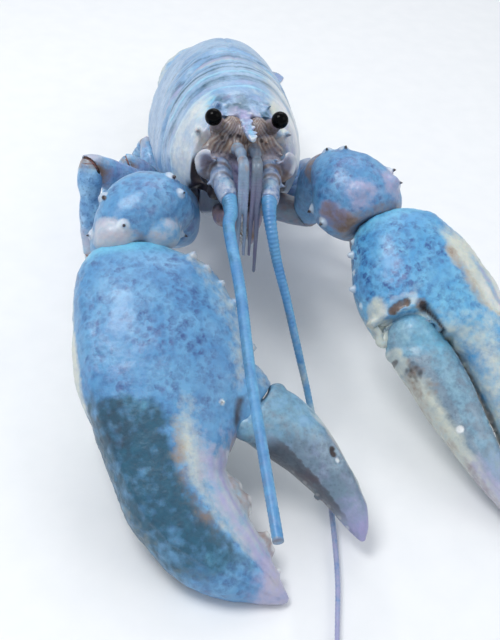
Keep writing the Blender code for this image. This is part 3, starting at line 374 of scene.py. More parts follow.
def chitin(name, light, dark, spot, gloss, mottle, speckle, bump):
    """Calcified crustacean shell, grown and still wet. Its pigment lies in clouds a centimetre wide,
    with dark blotches of 2 to 3 mm and specks under a millimetre, and the painted masks turn it to
    cyan, deep teal, cream, lilac, tan, white or black. A hard clear skin over it gives small sharp
    highlights, and fine pits and granules break them."""
    material = empty_material(name)
    tree = material.node_tree
    here = node(tree, "TexCoord").outputs["Object"]

    def texture(kind, size, settings):
        """A pattern over the shell, its marks of about this size in metres."""
        return node(tree, "Tex" + kind, {"Scale": 1 / size, **settings}, {"Vector": here})

    def maths(operation, *terms, clamp=False):
        """The outcome of a sum of numbers and of other nodes' outputs."""
        settings = {i: term for i, term in enumerate(terms) if isinstance(term, float)}
        links = {i: term for i, term in enumerate(terms) if not isinstance(term, float)}
        return node(tree, "Math", {"operation": operation, "use_clamp": clamp, **settings}, links).outputs[0]

    def ranged(value, settings):
        return node(tree, "MapRange", settings, {"Value": value}).outputs["Result"]

    def mixed(share, first, second):
        """Two colours mixed, each a code or another node's output."""
        settings, links = {}, {"Fac": share}
        for socket, tint in (("Color1", first), ("Color2", second)):
            if isinstance(tint, str):
                settings[socket] = linear(tint)
            else:
                links[socket] = tint
        return node(tree, "MixRGB", settings, links).outputs["Color"]

    paints = node(tree, "Attribute", {"attribute_name": "paint"})
    paint_of = node(tree, "SeparateColor", links={"Color": paints.outputs["Color"]}).outputs
    stains = node(tree, "Attribute", {"attribute_name": "stain"})
    stain_of = node(tree, "SeparateColor", links={"Color": stains.outputs["Color"]}).outputs
    clouds = texture("Noise", 0.010, {"Detail": 3.0, "Distortion": 0.4})
    cloudy = node(tree, "ValToRGB", {"stops": [(0.38, linear(dark)), (0.60, linear(light))]},
                  {"Fac": clouds.outputs["Fac"]})

    # Rounded blotches and streaks of the spot colour, in patches
    blotch = texture("Noise", 0.0024, {"Detail": 3.0, "Roughness": 0.6, "Distortion": 0.3})
    patch = texture("Noise", 0.0075, {"Detail": 2.0}).outputs["Fac"]
    bent = node(tree, "VectorMath", {"operation": "MULTIPLY_ADD", 1: (0.0030, 0.0030, 0.0030)},
                {0: blotch.outputs["Color"], 2: here})
    spots = node(tree, "TexVoronoi", {"Scale": 1 / 0.0023, "Randomness": 1.0}, {"Vector": bent.outputs[0]})
    greys = [(place, (grey,) * 3 + (1,))
             for place, grey in ((0.08, 0.55), (0.26, 1.0), (0.40, 0.7), (0.62, 0.0))]
    round_spots = node(tree, "ValToRGB", {"stops": greys}, {"Fac": spots.outputs["Distance"]})
    blotch = blotch.outputs["Fac"]
    streaks = ranged(blotch, {"From Min": 0.47, "From Max": 0.64, "To Max": 0.7})
    both = maths("MULTIPLY_ADD", round_spots.outputs["Color"], 0.8, streaks)
    present = ranged(patch, {"From Min": 0.32, "From Max": 0.62,
                             "To Min": 0.18 * mottle, "To Max": 0.72 * mottle})
    amount = maths("MULTIPLY", maths("MULTIPLY", both, present), stain_of["Green"], clamp=True)
    colour = mixed(amount, cloudy.outputs["Color"], spot)

    # Specks
    specks = texture("Voronoi", 0.0012, {"Randomness": 1.0})
    dots = ranged(specks.outputs["Distance"], {"From Min": 0.34, "From Max": 0.16, "To Max": speckle})
    colour = mixed(maths("MULTIPLY", dots, stain_of["Green"]), colour, spot)

    # The painted masks, each with ragged edges and two tints of its colour. On some pieces part of the cyan,
    # white and cream is painted highlight, and part of the black and deep teal is painted shade.
    ragged = texture("Noise", 0.0028, {"Detail": 4.0, "Roughness": 0.65})
    torn = maths("SUBTRACT", maths("ADD", ragged.outputs["Fac"], patch), 1.0)
    for mask, tear, first, second in (
        (stain_of["Red"], 1.0, "#86d0e6", "#56a9d8"),
        (paint_of["Green"], 1.1, "#07364f", "#1c6480"),
        (paint_of["Red"], 1.1, "#dfddc9", "#aebfc4"),
        (paint_of["Blue"], 1.1, "#aaa2cb", "#8e93c0"),
        (paints.outputs["Alpha"], 1.2, "#6c4b45", "#a08b77"),
        (stain_of["Blue"], 0.3, "#f1f2ee", "#d5dce2"),
        (stains.outputs["Alpha"], 0.2, "#17141a", "#3a2626"),
    ):
        sharp = ranged(maths("MULTIPLY_ADD", torn, tear, mask), {"From Min": 0.10, "From Max": 0.90})
        held = maths("MULTIPLY", sharp, ranged(mask, {"From Max": 0.25}), clamp=True)
        colour = mixed(held, colour, mixed(blotch, first, second))

    # Pits, granules and the clear skin
    pits = texture("Voronoi", 0.0013, {"feature": "SMOOTH_F1", "Smoothness": 0.4})
    grains = texture("Noise", 0.0022, {"Detail": 5.0, "Roughness": 0.6}).outputs["Fac"]
    fine = node(tree, "Bump", {"Strength": bump * 0.6, "Distance": 0.0002},
                {"Height": pits.outputs["Distance"]})
    coarse = node(tree, "Bump", {"Strength": bump, "Distance": 0.0006},
                  {"Height": grains, "Normal": fine.outputs["Normal"]})
    surface(
        tree,
        {"IOR": 1.56, "Coat Weight": 0.35, "Coat Roughness": 0.24, "Coat IOR": 1.5,
         "Subsurface Weight": 0.08, "Subsurface Scale": 0.002},
        {"Base Color": colour, "Roughness": ranged(grains, {"To Min": gloss, "To Max": gloss + 0.22}),
         "Normal": coarse.outputs["Normal"]},
    )
    return material


pale_shell = chitin("pearly_blue_shell", "#9fbcd8", "#7ca3ca", "#54749f", 0.30, 0.8, 0.3, 0.5)

section = smooth_reading(CARAPACE_SECTIONS)
beak_section = smooth_reading(BEAK_SECTIONS)


def shell_point(back, share):
    """A point of the carapace's outside, from share -1, the right lower edge, to 1, the left one."""
    top, half_width, widest, edge = section(back)
    if abs(share) <= DOME_SHARE:
        turn = share / DOME_SHARE * math.pi / 2
        side = math.copysign(half_width * abs(math.sin(turn)) ** (2 / DOME_POWER), share)
        rise = widest + (top - widest) * abs(math.cos(turn)) ** (2 / DOME_POWER)
    else:
        fall = (abs(share) - DOME_SHARE) / (1 - DOME_SHARE)
        side = math.copysign(half_width * (1 - (1 - EDGE_INSET) * fall ** 2), share)
        rise = widest + (edge - widest) * fall
    rear = fade(60, CARAPACE_LENGTH, back)
    back = back - rear * REAR_NOTCH * max(0.0, 1 - (share / DOME_SHARE) ** 2)
    return body(side, back, rise)


def front_edge(share):
    """Where the shell's front edge lies, back from the sockets: it is notched round each eye."""
    notch = math.exp(-(((abs(share) - 0.27) / 0.075) ** 2)) * 4.5
    cheek = fade(0.55, 1.0, abs(share)) * 3.0
    return -1.5 + notch + cheek


rings = []
shares = np.linspace(-1, 1, 121)
for step in np.linspace(0, 1, 130):
    outer = []
    for share in shares:
        first = front_edge(share)
        outer.append(shell_point(first + (CARAPACE_LENGTH - first) * step, share))
    middle = -0.5 + (CARAPACE_LENGTH + 0.5) * step
    _, half_width, _, edge = section(middle)
    jamb = half_width * EDGE_INSET - WALL
    roof = [(jamb, edge + 0.5), (jamb - 1, 7), (jamb - 5, CEILING), (0, CEILING)]
    roof += [(-side, rise) for side, rise in reversed(roof[:-1])]
    rings.append(outer + [body(side, middle, rise) for side, rise in roof])
carapace = lofted("carapace_shell", rings)

rings = []
for ahead_of in np.linspace(-16, 31, 60):
    half_width, top, thick = beak_section(ahead_of)
    outline = []
    for turn in np.linspace(0, 2 * math.pi, 32, endpoint=False):
        x, z = math.cos(turn), math.sin(turn)
        trough = 0.34 * thick * (1 - min(1, abs(x) / 0.8) ** 2) if z > 0 else 0.0
        outline.append((half_width * x, top - thick * 0.5 + thick * 0.5 * z - trough))
    rings.append([body(x, -ahead_of, z) for x, z in outline])
forms = [lofted("beak", rings)]
for side in (-1, 1):
    for ahead_of, length in ((1, 2.2), (7, 3.0), (13, 3.4), (19, 3.0), (24, 2.0)):
        half_width, top, thick = beak_section(ahead_of)
        root = body(side * half_width * 0.86, -ahead_of, top - thick * 0.25)
        forms.append(spike(root, body_way(side * 0.62, -1.0, 0.25), length, 1.0))
    forms.append(spike(body(side * 16.0, 1.0, 30.0), body_way(side * 0.2, -1.0, 0.2), 5.0, 2.2, 0.9))
    forms.append(spike(body(side * 9.2, 3.5, 38.8), body_way(side * 0.1, -1.0, 0.35), 4.2, 1.6, 0.8))
melt(carapace, forms, CARAPACE_VOXEL, 6)

points = points_of(carapace)
side, back, rise = body_places(points)
share = np.clip(np.abs(side) / HALF_WIDTH, 0, 1)
outside = fade(CEILING + 3, CEILING + 8, rise) + fade(24.0, 26.0, np.abs(side))
outside = np.clip(outside, 0, 1) * fade(-1.0, 3.0, back)
neck = NECK - NECK_SWEEP * share ** 1.5
groove = -1.5 * bell(back, neck, 2.6)
rear_band = -0.7 * bell(back, REAR_BAND, 1.1)
suture = -0.35 * bell(side, 0, 0.7) * fade(20, 30, back)
swell = waves(points, (0.5, 16, 3.0), (0.22, 5, 7.0), (0.08, 1.6, 1.0))
lift(carapace, (groove + rear_band + suture + swell) * outside)
wander = back + waves(points, (1.6, 17, 5.0), (0.5, 6, 8.0))


def arcs(table):
    """Thin bands that cross the shell, each as (place, half breadth, strength)."""
    return sum(strength * bell(wander, place, broad) for place, broad, strength in table)


crown = fade(1.0, 0.75, share)
growth_lines = fade(0.35, 0.95, np.sin(2 * np.pi * wander / GROWTH_STEP))
growth_lines = growth_lines * fade(15, 20, back) * fade(66, 50, back)
dark_arcs = arcs([(21.5, 2.4, 0.7), (31.5, 1.1, 0.8), (34.6, 0.6, 0.5), (42, 1.3, 0.7), (50, 0.9, 0.4),
                  (58, 1.5, 0.4), (67, 1.2, 0.3), (76, 1.4, 0.35), (86, 1.2, 0.35)])
# Bands raised as ridges; the cyan and white laid along them in the paint below are painted highlight.
ridge_highlights = arcs([(14.6, 0.8, 0.8), (26.5, 1.1, 0.9), (37.5, 1.6, 0.5), (46.5, 0.7, 0.6), (54, 0.8, 0.4),
                   (63, 1.0, 0.3)])
lift(carapace, (0.22 * ridge_highlights - 0.25 * dark_arcs) * outside)
cheek = fade(20, 9, back) * fade(0.3, 0.5, share)
facing = normals_of(carapace) @ np.array(body_way(0, -1, 0))
# The front wall, the inner lip and the openings beside the face are painted black below: painted shade where
# they lie in shadow, over dark red-brown skin.
front_wall = fade(0.45, 0.75, facing) * fade(6, 3, back) * fade(10.5, 12.5, np.abs(side))
pit = fade(4.0, 2.6, np.abs(np.abs(side) - 13.6)) * fade(17.5, 15, rise)
pit = pit * fade(3, 6, rise) * fade(9, 5, back)
lip = fade(7, 3, back) * fade(7, 9, np.abs(side)) * fade(12, 8, rise)
head = fade(16, 5, back) * fade(14, 20, rise)
small = lumps(points, 2.4, 12.0)
beak_width = np.interp(-back, [-16, -3, 10, 24, 31], [9.0, 4.2, 2.4, 1.3, 0.6])
beak_side = fade(0.45, 0.8, np.abs(side) / beak_width)
beak_side = beak_side * fade(6, -2, back) * fade(7, 5.5, np.abs(side))
channel = bell(side, 0, np.interp(back, [-20, 0, 12], [0.9, 2.4, 3.4]))
paint(
    carapace,
    cream=0.5 * fade(2, 20, side) * fade(48, 26, back) * (1 - 0.6 * dark_arcs)
    + 0.35 * fade(6, 16, -side) * cheek
    + 0.35 * arcs([(38, 2.5, 0.8), (12, 2.0, 0.5)]) + 0.4 * fade(8, 0, rise) * (1 - lip)
    + 0.9 * near_any((side, back * 0.6), [(14.5, 4.0)], 5.0),
    deep=(0.62 * dark_arcs + 0.22 * growth_lines) * crown
    + 0.5 * channel * fade(12, 6, back) * fade(-16, -6, back)
    + 0.5 * near_any((side, back), [(-7.2, 8.5), (-3.7, 2.0), (8.5, 1.0), (10.5, 7.0)], 3.4)
    + 0.35 * head * fade(0.18, 0.5, small),
    mottled=0.4 + 0.4 * fade(0.5, 0.9, share) + 0.6 * head,
    lilac=0.8 * channel * fade(-16, -8, back) * fade(3, -4, back)
    + 0.45 * arcs([(39.5, 2.2, 0.8), (18, 2, 0.5)])
    + 0.3 * fade(9, 16, side) * cheek + 0.45 * beak_side
    + 0.4 * head * fade(0.15, 0.45, lumps(points, 3.4, 21.0)),
    tan=0.5 * fade(4, -3, back) * fade(6, 12, np.abs(side)) * fade(34, 28, rise) * (1 - lip),
    # Cyan and white along the raised arcs: painted highlight.
    cyan=0.85 * ridge_highlights * crown + 0.6 * channel * fade(-12, -18, back)
    + 0.6 * near_any((side, back), [(-14.0, 7.0), (-12.0, 10.5)], 3.5),
    white=0.3 * ridge_highlights * crown + 0.45 * cheek * fade(4, -6, side) * fade(8, 14, rise)
    + 0.8 * near_any((side, back), [(0, -29.0)], 3.6)
    + 0.35 * head * fade(0.2, 0.5, lumps(points, 2.6, 33.0)) + 0.25 * beak_side
    + 0.75 * fade(8, 18, side) * fade(50, 20, back) * fade(4, 12, back) * (1 - dark_arcs),
    # Black at the front wall, lip and openings: painted shade.
    black=0.95 * front_wall * fade(23, 18, rise) + 0.85 * lip + 0.95 * pit,
)
fix(carapace, pale_shell, "shell_pale", "carapace")


# Claws: the pair of big pincers, each a hollow hard palm with one fixed finger and one that hinges
# on a knob at the palm's end. The right one has blunt crushing teeth and gapes; the left one is
# slimmer, with two rows of sharp teeth. Both are thick mottled shell with a creamy outer margin.
GAP = 0.3
CLAW_SIDES = 64
CLAW_POWER = 2.3
CLAW_VOXEL = 0.7
FINGER_SIDES = 48
FINGER_VOXEL = 0.5


def section_ring(centre, normal, up, half_width, half_height, sides, power):
    """A superellipse about centre, in the plane across normal; its height runs along up."""
    normal = normal.normalized()
    side = up.cross(normal).normalized()
    rise = normal.cross(side)
    points = []
    for i in range(sides):
        turn = 2 * math.pi * (i + 0.5) / sides
        x, z = math.cos(turn), math.sin(turn)
        x = math.copysign(abs(x) ** (2 / power), x)
        z = math.copysign(abs(z) ** (2 / power), z)
        points.append(centre + side * half_width * x + rise * half_height * z)
    return points


def swept(name, stations, up, sides, power=2.0, first=None, last=None, spacing=1.0, square=None):
    """A closed body along stations of (centre, half width, half height), smooth between them."""
    centres = [Vector(station[0]) for station in stations]
    run = [0.0]
    for near, far in zip(centres, centres[1:]):
        run.append(run[-1] + (far - near).length)
    rows = [(at, *centre, *station[1:]) for at, centre, station in zip(run, centres, stations)]
    read = smooth_reading(rows)
    count = max(4, round(run[-1] / spacing))
    rings = []
    for i in range(count + 1):
        at = run[-1] * i / count
        x, y, z, half_width, half_height = read(at)
        normal = Vector(read(min(run[-1], at + 0.5))[:3] - read(max(0.0, at - 0.5))[:3]).normalized()
        if square is not None:
            normal = square
        if first is not None:
            normal = normal.lerp(first.normalized(), 1 - fade(0, max(2.0, half_width * 0.7), at))
        if last is not None:
            normal = normal.lerp(last.normalized(), 1 - fade(0, max(2.0, half_width * 0.7), run[-1] - at))
        rings.append(section_ring(Vector((x, y, z)), normal, up, half_width, half_height, sides, power))
    return lofted(name, rings)


def ball(centre, radius, squash=1.0, axis=None, segments=32, rings=20):
    """A round lump, or one squashed along an axis, the upright one if none is given."""
    bpy.ops.mesh.primitive_uv_sphere_add(radius=radius / METRE, segments=segments, ring_count=rings,
                                         location=(Vector(centre) - MIDDLE) / METRE)
    made = bpy.context.object
    made.scale.z = squash
    if axis is not None:
        made.rotation_euler = Vector(axis).to_track_quat("Z", "Y").to_euler()
    return made


class Claw:
    """Where a claw's wrist is, how it points, and places in its own plane."""

    def __init__(self, wrist, heading, dip, inner, roll=0.0):
        self.wrist = Vector(wrist)
        heading, dip, roll = math.radians(heading), math.radians(dip), math.radians(roll)
        self.forward = Vector(
            (math.sin(heading) * math.cos(dip), -math.cos(heading) * math.cos(dip), -math.sin(dip))
        )
        flat = Vector((math.cos(heading), math.sin(heading), 0)) * inner
        upright = flat.cross(self.forward) * -inner
        upright = upright if upright.z > 0 else -upright
        self.inward = flat * math.cos(roll) + upright * math.sin(roll)
        self.up = upright * math.cos(roll) - flat * math.sin(roll)

    def at(self, ahead, inward, rise=0.0):
        return self.wrist + self.forward * ahead + self.inward * inward + self.up * rise

    def way(self, ahead, inward, rise=0.0):
        return self.forward * ahead + self.inward * inward + self.up * rise

    def places(self, points):
        """Points as columns of distance ahead, inward and up."""
        apart = points - np.array(self.wrist)
        return apart @ np.array(self.forward), apart @ np.array(self.inward), apart @ np.array(self.up)

    def spine(self, at, way, *shape):
        """A spine that stands at a place in the claw's own plane."""
        return spike(self.at(*at), self.way(*way), *shape)

    def stations(self, rows):
        return [(self.at(ahead, inward), half, thick) for ahead, inward, half, thick in rows]


CRUSHER = Claw(wrist=(-39.4, -32.3, 54.0), heading=10.2, dip=26.2, inner=1)
CUTTER = Claw(wrist=(48.1, -12.1, 54.0), heading=22.3, dip=25.4, inner=-1, roll=-18)

# Distance from the wrist, distance inward, half width, half thickness
CRUSHER_PALM = [
    (0, -1.2, 13.2, 10), (5, -0.4, 18.2, 12.5), (11, 0.9, 22.3, 14.8), (24, 3.7, 27.1, 17.2),
    (38, 4.6, 28.3, 17.5), (48, 4.2, 27.6, 17), (56, 3.1, 25.2, 16), (64, 1.7, 22.0, 14.6),
    (72, 0.9, 18.8, 13.4), (80, 1.2, 16.8, 12.6), (87, 3.6, 16, 12), (96, 8.4, 15, 11),
    (104, 14.5, 12.1, 9), (110.5, 21, 8, 6.5), (115.5, 26, 3.9, 3.4), (118.5, 29.5, 0.9, 0.9),
]
CRUSHER_HINGE = (59.0, 32.0)
CRUSHER_HINGE_WAY = (0.66, 0.754)
CRUSHER_FINGER = [
    (59.0, 32.0, 10.2, 9), (64, 37.6, 10.6, 10), (70, 43, 9.8, 10), (77, 47.4, 8.4, 9), (84, 51.2, 7.0, 8),
    (91, 54.2, 5.8, 6.5), (97, 56.2, 4.5, 5), (102, 57, 2.8, 3), (105.5, 57.2, 0.7, 0.7),
]
CUTTER_PALM = [
    (0, -4.5, 11, 10), (5, -6, 16, 12.5), (11, -6.3, 18.8, 14.5), (20, -6, 22.3, 15.5), (30, -6.3, 23.8, 16),
    (38, -7.5, 23.8, 15.5), (44, -8.5, 22.5, 14.8), (48, -12.5, 18.5, 14), (51, -17, 14.3, 13),
    (56, -19.5, 12.4, 12), (66, -19.8, 11.8, 11), (80, -18.2, 10, 9.5), (95, -14.5, 7.5, 7.5),
    (108, -10.4, 5, 5.5), (119, -6.8, 2.8, 3.6), (126.5, -4, 1.2, 1.6),
]
CUTTER_HINGE = (45.5, 5.0)
CUTTER_HINGE_WAY = (0.92, 0.39)
CUTTER_GAPE = 12.3
CUTTER_FINGER = [
    (45.5, 5, 9.2, 8.5), (51, 4.6, 9.8, 9.5), (59, 3.4, 9.4, 9.3), (66, 2.9, 9.3, 9), (80.5, 1.8, 7.6, 8),
    (94.8, 0.6, 5.6, 6.3), (106.5, -0.7, 3.6, 4.5), (114, -1.6, 2.0, 2.6), (119.5, -2.4, 0.7, 0.7),
]


def over_claw(piece, claw, rows):
    """A claw piece's points, how far ahead, inward and up they lie, and where over its width: -1 at
    the outer edge, 1 at the inner one."""
    points = points_of(piece)
    ahead, inward, rise = claw.places(points)
    table = np.array(rows, float)
    middle = np.interp(ahead, table[:, 0], table[:, 1])
    half = np.interp(ahead, table[:, 0], table[:, 2])
    return points, ahead, inward, rise, (inward - middle) / half


def rest_on_floor(piece):
    """Flattens whatever would reach under the floor."""
    points = points_of(piece)
    points[:, 2] = np.maximum(points[:, 2], 0.0)
    move_to(piece, points)


def finger_rows(rows, hinge, way):
    """A moving finger's rows, its flat root drawn back a little from the palm's knob."""
    way = Vector(way).normalized() * GAP
    return [(hinge[0] + way.x, hinge[1] + way.y, *rows[0][2:])] + rows[1:]


def knob(claw, hinge, way, radius):
    """The knob at the palm's end that carries the moving finger."""
    way = Vector(way).normalized()
    end = Vector(hinge) - way * GAP
    stations = [
        (claw.at(*(end - way * back)), radius * wide, radius * tall)
        for back, wide, tall in ((16, 1.3, 1.2), (9, 1.24, 1.14), (4, 1.15, 1.05), (0, 0.98, 0.86))
    ]
    normal = claw.way(way.x, way.y)
    return swept("knob", stations, claw.up, 40, 2.0, normal, normal)


def edge_of(rows, ahead, side):
    """How far inward a claw's edge lies, this far ahead: the inner edge for side 1, the outer for -1."""
    table = np.array(rows, float)
    half = np.interp(ahead, table[:, 0], table[:, 2])
    return float(np.interp(ahead, table[:, 0], table[:, 1]) + side * half)


blue_shell = chitin("mottled_blue_shell", "#68a3ce", "#5190c2", "#32558c", 0.36, 1.0, 0.0, 0.5)
bright_shell = chitin("bright_blue_shell", "#6db3da", "#4c9ace", "#295a96", 0.36, 1.35, 0.0, 0.5)
grey_shell = chitin("grey_blue_shell", "#8da5b6", "#6f889b", "#44566b", 0.36, 0.8, 0.3, 0.5)

forms = [knob(CRUSHER, CRUSHER_HINGE, CRUSHER_HINGE_WAY, 10.2)]
molars = []
# Rounded swellings that bear the crushing teeth: distance ahead, inward, radius
swellings = [(83.6, 16.4, 6.0), (88.0, 18.9, 5.4), (101.3, 24.0, 4.4)]
for ahead, inward, radius in swellings:
    forms.append(ball(CRUSHER.at(ahead, inward, -0.5), radius))
for ahead, length, radius in (
    (73, 0.9, 1.3), (77.5, 1.0, 1.6), (82, 1.3, 2.0), (86.5, 1.5, 2.2), (90.5, 1.2, 1.8),
):
    inward = edge_of(CRUSHER_PALM, ahead, 1)
    for along, aside, bulge in swellings:
        if abs(along - ahead) < bulge:
            inward = max(inward, aside + math.sqrt(bulge ** 2 - (along - ahead) ** 2))
    forms.append(CRUSHER.spine((ahead, inward - 0.8), (0.1, 1), length, radius, 1.0, 0.45))
    molars.append((ahead + 0.2, inward + length - 1))
for ahead, inward, length in ((98.5, 27.6, 1.4), (103.0, 28.4, 1.4), (109.5, 28.9, 1.5)):
    forms.append(CRUSHER.spine((ahead, inward - 0.8), (-0.5, 1), length, 2.2, 1.0, 0.4))
    molars.append((ahead - 0.5, inward + length - 1))
inward = edge_of(CRUSHER_PALM, 50, 1)
forms.append(CRUSHER.spine((50, inward - 3), (0.2, 1), 4.5, 5.0, 1.0, 0.6))
warts = []
for ahead, aside, rise in (
    (8, 16.8, 9.5), (13, 20.6, 9.5), (18.5, 24.6, 9.0), (25, 28.2, 8.5), (33, 30.2, 8.0), (41, 30.4, 7.0),
):
    forms.append(CRUSHER.spine((ahead, aside, rise), (-0.3, 1, 0.7), 3.6, 2.7, 1.0, 0.45))
    warts.append((ahead - 1.0, aside + 2.4, rise + 1.7))
forms.append(CRUSHER.spine((58.3, 18.2, 13.0), (0.2, 0.3, 1), 2.0, 1.6, 1.2, 0.4))
crusher_palm = swept("crusher_palm_shell", CRUSHER.stations(CRUSHER_PALM), CRUSHER.up, CLAW_SIDES,
                     CLAW_POWER, CRUSHER.forward)
melt(crusher_palm, forms, CLAW_VOXEL, 6)
points, ahead, inward, rise, width = over_claw(crusher_palm, CRUSHER, CRUSHER_PALM)
plan, place = (ahead, inward), (ahead, inward, rise)
rough_edges = fade(0.55, 0.95, np.abs(width))
furrow = -0.9 * bell(width, 0.45, 0.12) * fade(70, 84, ahead) * fade(0, 5, rise)
rim = 0.5 * bell(width, -0.84, 0.07) * fade(4, 20, ahead)
dish = -1.3 * bell(ahead, 58, 9) * bell(inward, 18, 8) * fade(0, 6, rise)
lift(crusher_palm, waves(points, (0.5, 13, 2.0), (0.18, 4.5, 4.0))
     + (0.05 + 0.14 * rough_edges) * lumps(points, 1.5, 6.0) + furrow + rim + dish)
rest_on_floor(crusher_palm)
low_side = fade(-5, -10, rise)
margin = fade(-0.93, -0.99, width + 0.05 * fade(56, 72, ahead)) * fade(-2, 8, ahead) * fade(114, 98, ahead)
margin = margin * (1 - 0.88 * fade(54, 66, ahead) * fade(-9.6, -7.4, rise))
# A dark line painted along the edge where the moving finger's root overlaps the palm: painted shadow.
finger_root_shadow = bell(inward, np.interp(ahead, [56, 65], [25.2, 22.8]), 1.3)
finger_root_shadow = finger_root_shadow * fade(55.5, 58, ahead) * fade(67, 64, ahead)
low_side = low_side * (1 - 0.9 * fade(48, 62, ahead) * fade(-0.2, -0.5, width))
start_of_murk = ahead - 50 - 9.5 * (width + 0.9) + waves(points, (3.0, 6, 9.0), (1.5, 2, 19.0))
end_of_murk = width - 0.0055 * (ahead - 60) * (ahead > 60)
end_of_murk = fade(0.16, -0.26, end_of_murk + waves(points, (0.14, 7, 3.0), (0.08, 2.2, 13.0)))
murky = fade(-3, 6, start_of_murk) * end_of_murk * fade(112, 100, ahead)
tip = near_any(plan, [(119, 32)], 19)
olive = 1.3 * bell(ahead, 70, 10) * bell(width, 0.06, 0.13)
olive = olive + 0.8 * bell(ahead, 90, 7) * bell(width, 0.05, 0.2)
ridges = bell(width, 0.60, 0.07) + bell(width, 0.80, 0.05)
paint(
    crusher_palm,
    cream=np.maximum(margin, 0.8 * low_side) + 0.38 * fade(0.5, 0.9, width) * fade(64, 44, ahead)
    + 0.55 * fade(62, 76, ahead) * fade(0.10, 0.4, width) * fade(110, 98, ahead)
    + 0.8 * bell(ahead, 67, 10) * bell(width, 0.16, 0.17)
    + 0.2 * fade(74, 84, ahead) * fade(0.4, 0.6, width),
    deep=murky * (1 - low_side) * (1 - 0.75 * margin) * (0.90 + 0.5 * lumps(points, 2.6, 25.0)),
    lilac=0.95 * tip + 0.4 * ridges * fade(68, 78, ahead)
    + 0.34 * fade(60, 72, ahead) * fade(0.2, 0.5, width)
    + 0.12 * bell(ahead, 40, 12) * fade(0.1, -0.5, width) * (1 - murky),
    tan=0.36 * olive + 0.3 * near_any(place, warts, 3.2) + 0.2 * tip
    + 0.45 * fade(0.95, 1.0, width) * fade(60, 75, ahead)
    + 0.5 * margin * near_any(plan, [(80, -15.5), (83, -13.0)], 5.0),
    cyan=0.8 * fade(7, 1, ahead)
    + 0.15 * fade(64, 74, ahead) * fade(0.0, 0.2, width) * fade(0.45, 0.3, width)
    + 0.6 * murky * near_any(plan, [(55, -8), (104, 8)], 5.0)
    + 0.35 * murky * fade(0.05, 0.5, lumps(points, 3.4, 51.0)),
    mottled=0.75 + 0.25 * fade(0.9, 0.3, np.abs(width)) - 0.55 * fade(74, 84, ahead) * fade(0.2, 0.4, width),
    # The white touch over the fixed finger's lilac tip is painted highlight; the white on teeth and warts is
    # their own.
    white=np.maximum(0.45 * near_any(plan, molars, 2.0) * fade(62, 70, ahead),
                     0.35 * near_any(place, warts, 2.6))
    + 0.9 * near_any(plan, [(58.5, 18.5)], 1.6) * fade(4, 8, rise)
    + 0.14 * fade(70, 82, ahead) * fade(0.25, 0.45, width) * fade(112, 104, ahead) + 0.3 * tip,
    black=0.25 * murky * near_any(plan, [(52, -16.5), (57, -15.5), (63, -14.0)], 7.0)
    + 0.2 * murky * fade(0.1, 0.5, lumps(points, 2.4, 31.0))
    + 0.8 * finger_root_shadow,
)
fix(crusher_palm, blue_shell, "shell_blue", "crusher_palm")

forms = []
molars = []
for ahead, inward, length, radius in (
    (72.5, 34.4, 1.2, 1.6), (76.0, 37.3, 1.3, 1.6), (79.8, 40.4, 1.5, 1.8), (84.0, 43.2, 1.8, 2.0),
    (88.6, 46.2, 3.0, 2.6), (93.0, 48.8, 1.6, 1.7), (96.8, 51.4, 1.4, 1.5), (100.3, 53.2, 1.1, 1.3),
):
    forms.append(CRUSHER.spine((ahead, inward + 0.9), (0.55, -0.83), length * 0.8, radius * 0.8, 1.0, 0.5))
    molars.append((ahead + 0.3, inward - 0.4))
for back, aside, rise, wide in ((2.6, -8.0, 3.0, 3.2), (2.4, 7.6, 3.5, 3.4), (3.0, 0.0, 6.0, 3.8),
                               (0.2, 6.2, 2.0, 6.0), (1.6, 3.0, 2.4, 7.0)):
    way = Vector(CRUSHER_HINGE_WAY).normalized()
    spot = Vector(CRUSHER_HINGE) + way * back + Vector((-way.y, way.x)) * -aside
    forms.append(ball(CRUSHER.at(spot.x, spot.y, rise), wide, 0.85, None, 24, 16))
rows = finger_rows(CRUSHER_FINGER, CRUSHER_HINGE, CRUSHER_HINGE_WAY)
crusher_finger = swept("crusher_finger_shell", CRUSHER.stations(rows), CRUSHER.up, FINGER_SIDES, CLAW_POWER,
                       CRUSHER.way(*CRUSHER_HINGE_WAY))
melt(crusher_finger, forms, FINGER_VOXEL, 5)
points, ahead, inward, rise, width = over_claw(crusher_finger, CRUSHER, CRUSHER_FINGER)
plan = (ahead, inward)
hole = near_any(plan, [(78.3, 51.6), (80.6, 52.6)], 2.0) * fade(0, 4, rise)
lift(crusher_finger, waves(points, (0.3, 9, 2.0), (0.14, 3.5, 4.0), (0.06, 1.3, 6.0)) - 0.7 * hole)
paint(
    crusher_finger,
    cream=fade(0.65, 0.95, width) * fade(60, 70, ahead) * 0.8 + 0.6 * fade(1, -4, rise),
    lilac=0.8 * fade(90, 104, ahead) + 0.15,
    tan=0.15 * fade(-0.80, -0.95, width) * fade(62, 70, ahead)
    + 0.2 * bell(width, 0.75, 0.2) * fade(62, 74, ahead) * fade(96, 84, ahead),
    cyan=0.4 * fade(80, 66, ahead),
    mottled=0.9 * fade(98, 84, ahead),
    white=0.6 * near_any((ahead, inward, rise * 0.6), [(*molar, 0.0) for molar in molars], 1.2)
    + 0.8 * near_any(plan, [(80.4, 52.6)], 1.1),
    black=0.9 * near_any(plan, [(78.3, 51.6), (77.0, 51.2)], 1.6) * fade(0, 4, rise)
    + 0.6 * fade(-0.86, -0.96, width + 0.08 * lumps(points, 1.6, 3.0)) * fade(68, 74, ahead)
    * fade(102, 94, ahead),
)
fix(crusher_finger, grey_shell, "shell_blue", "crusher_finger")

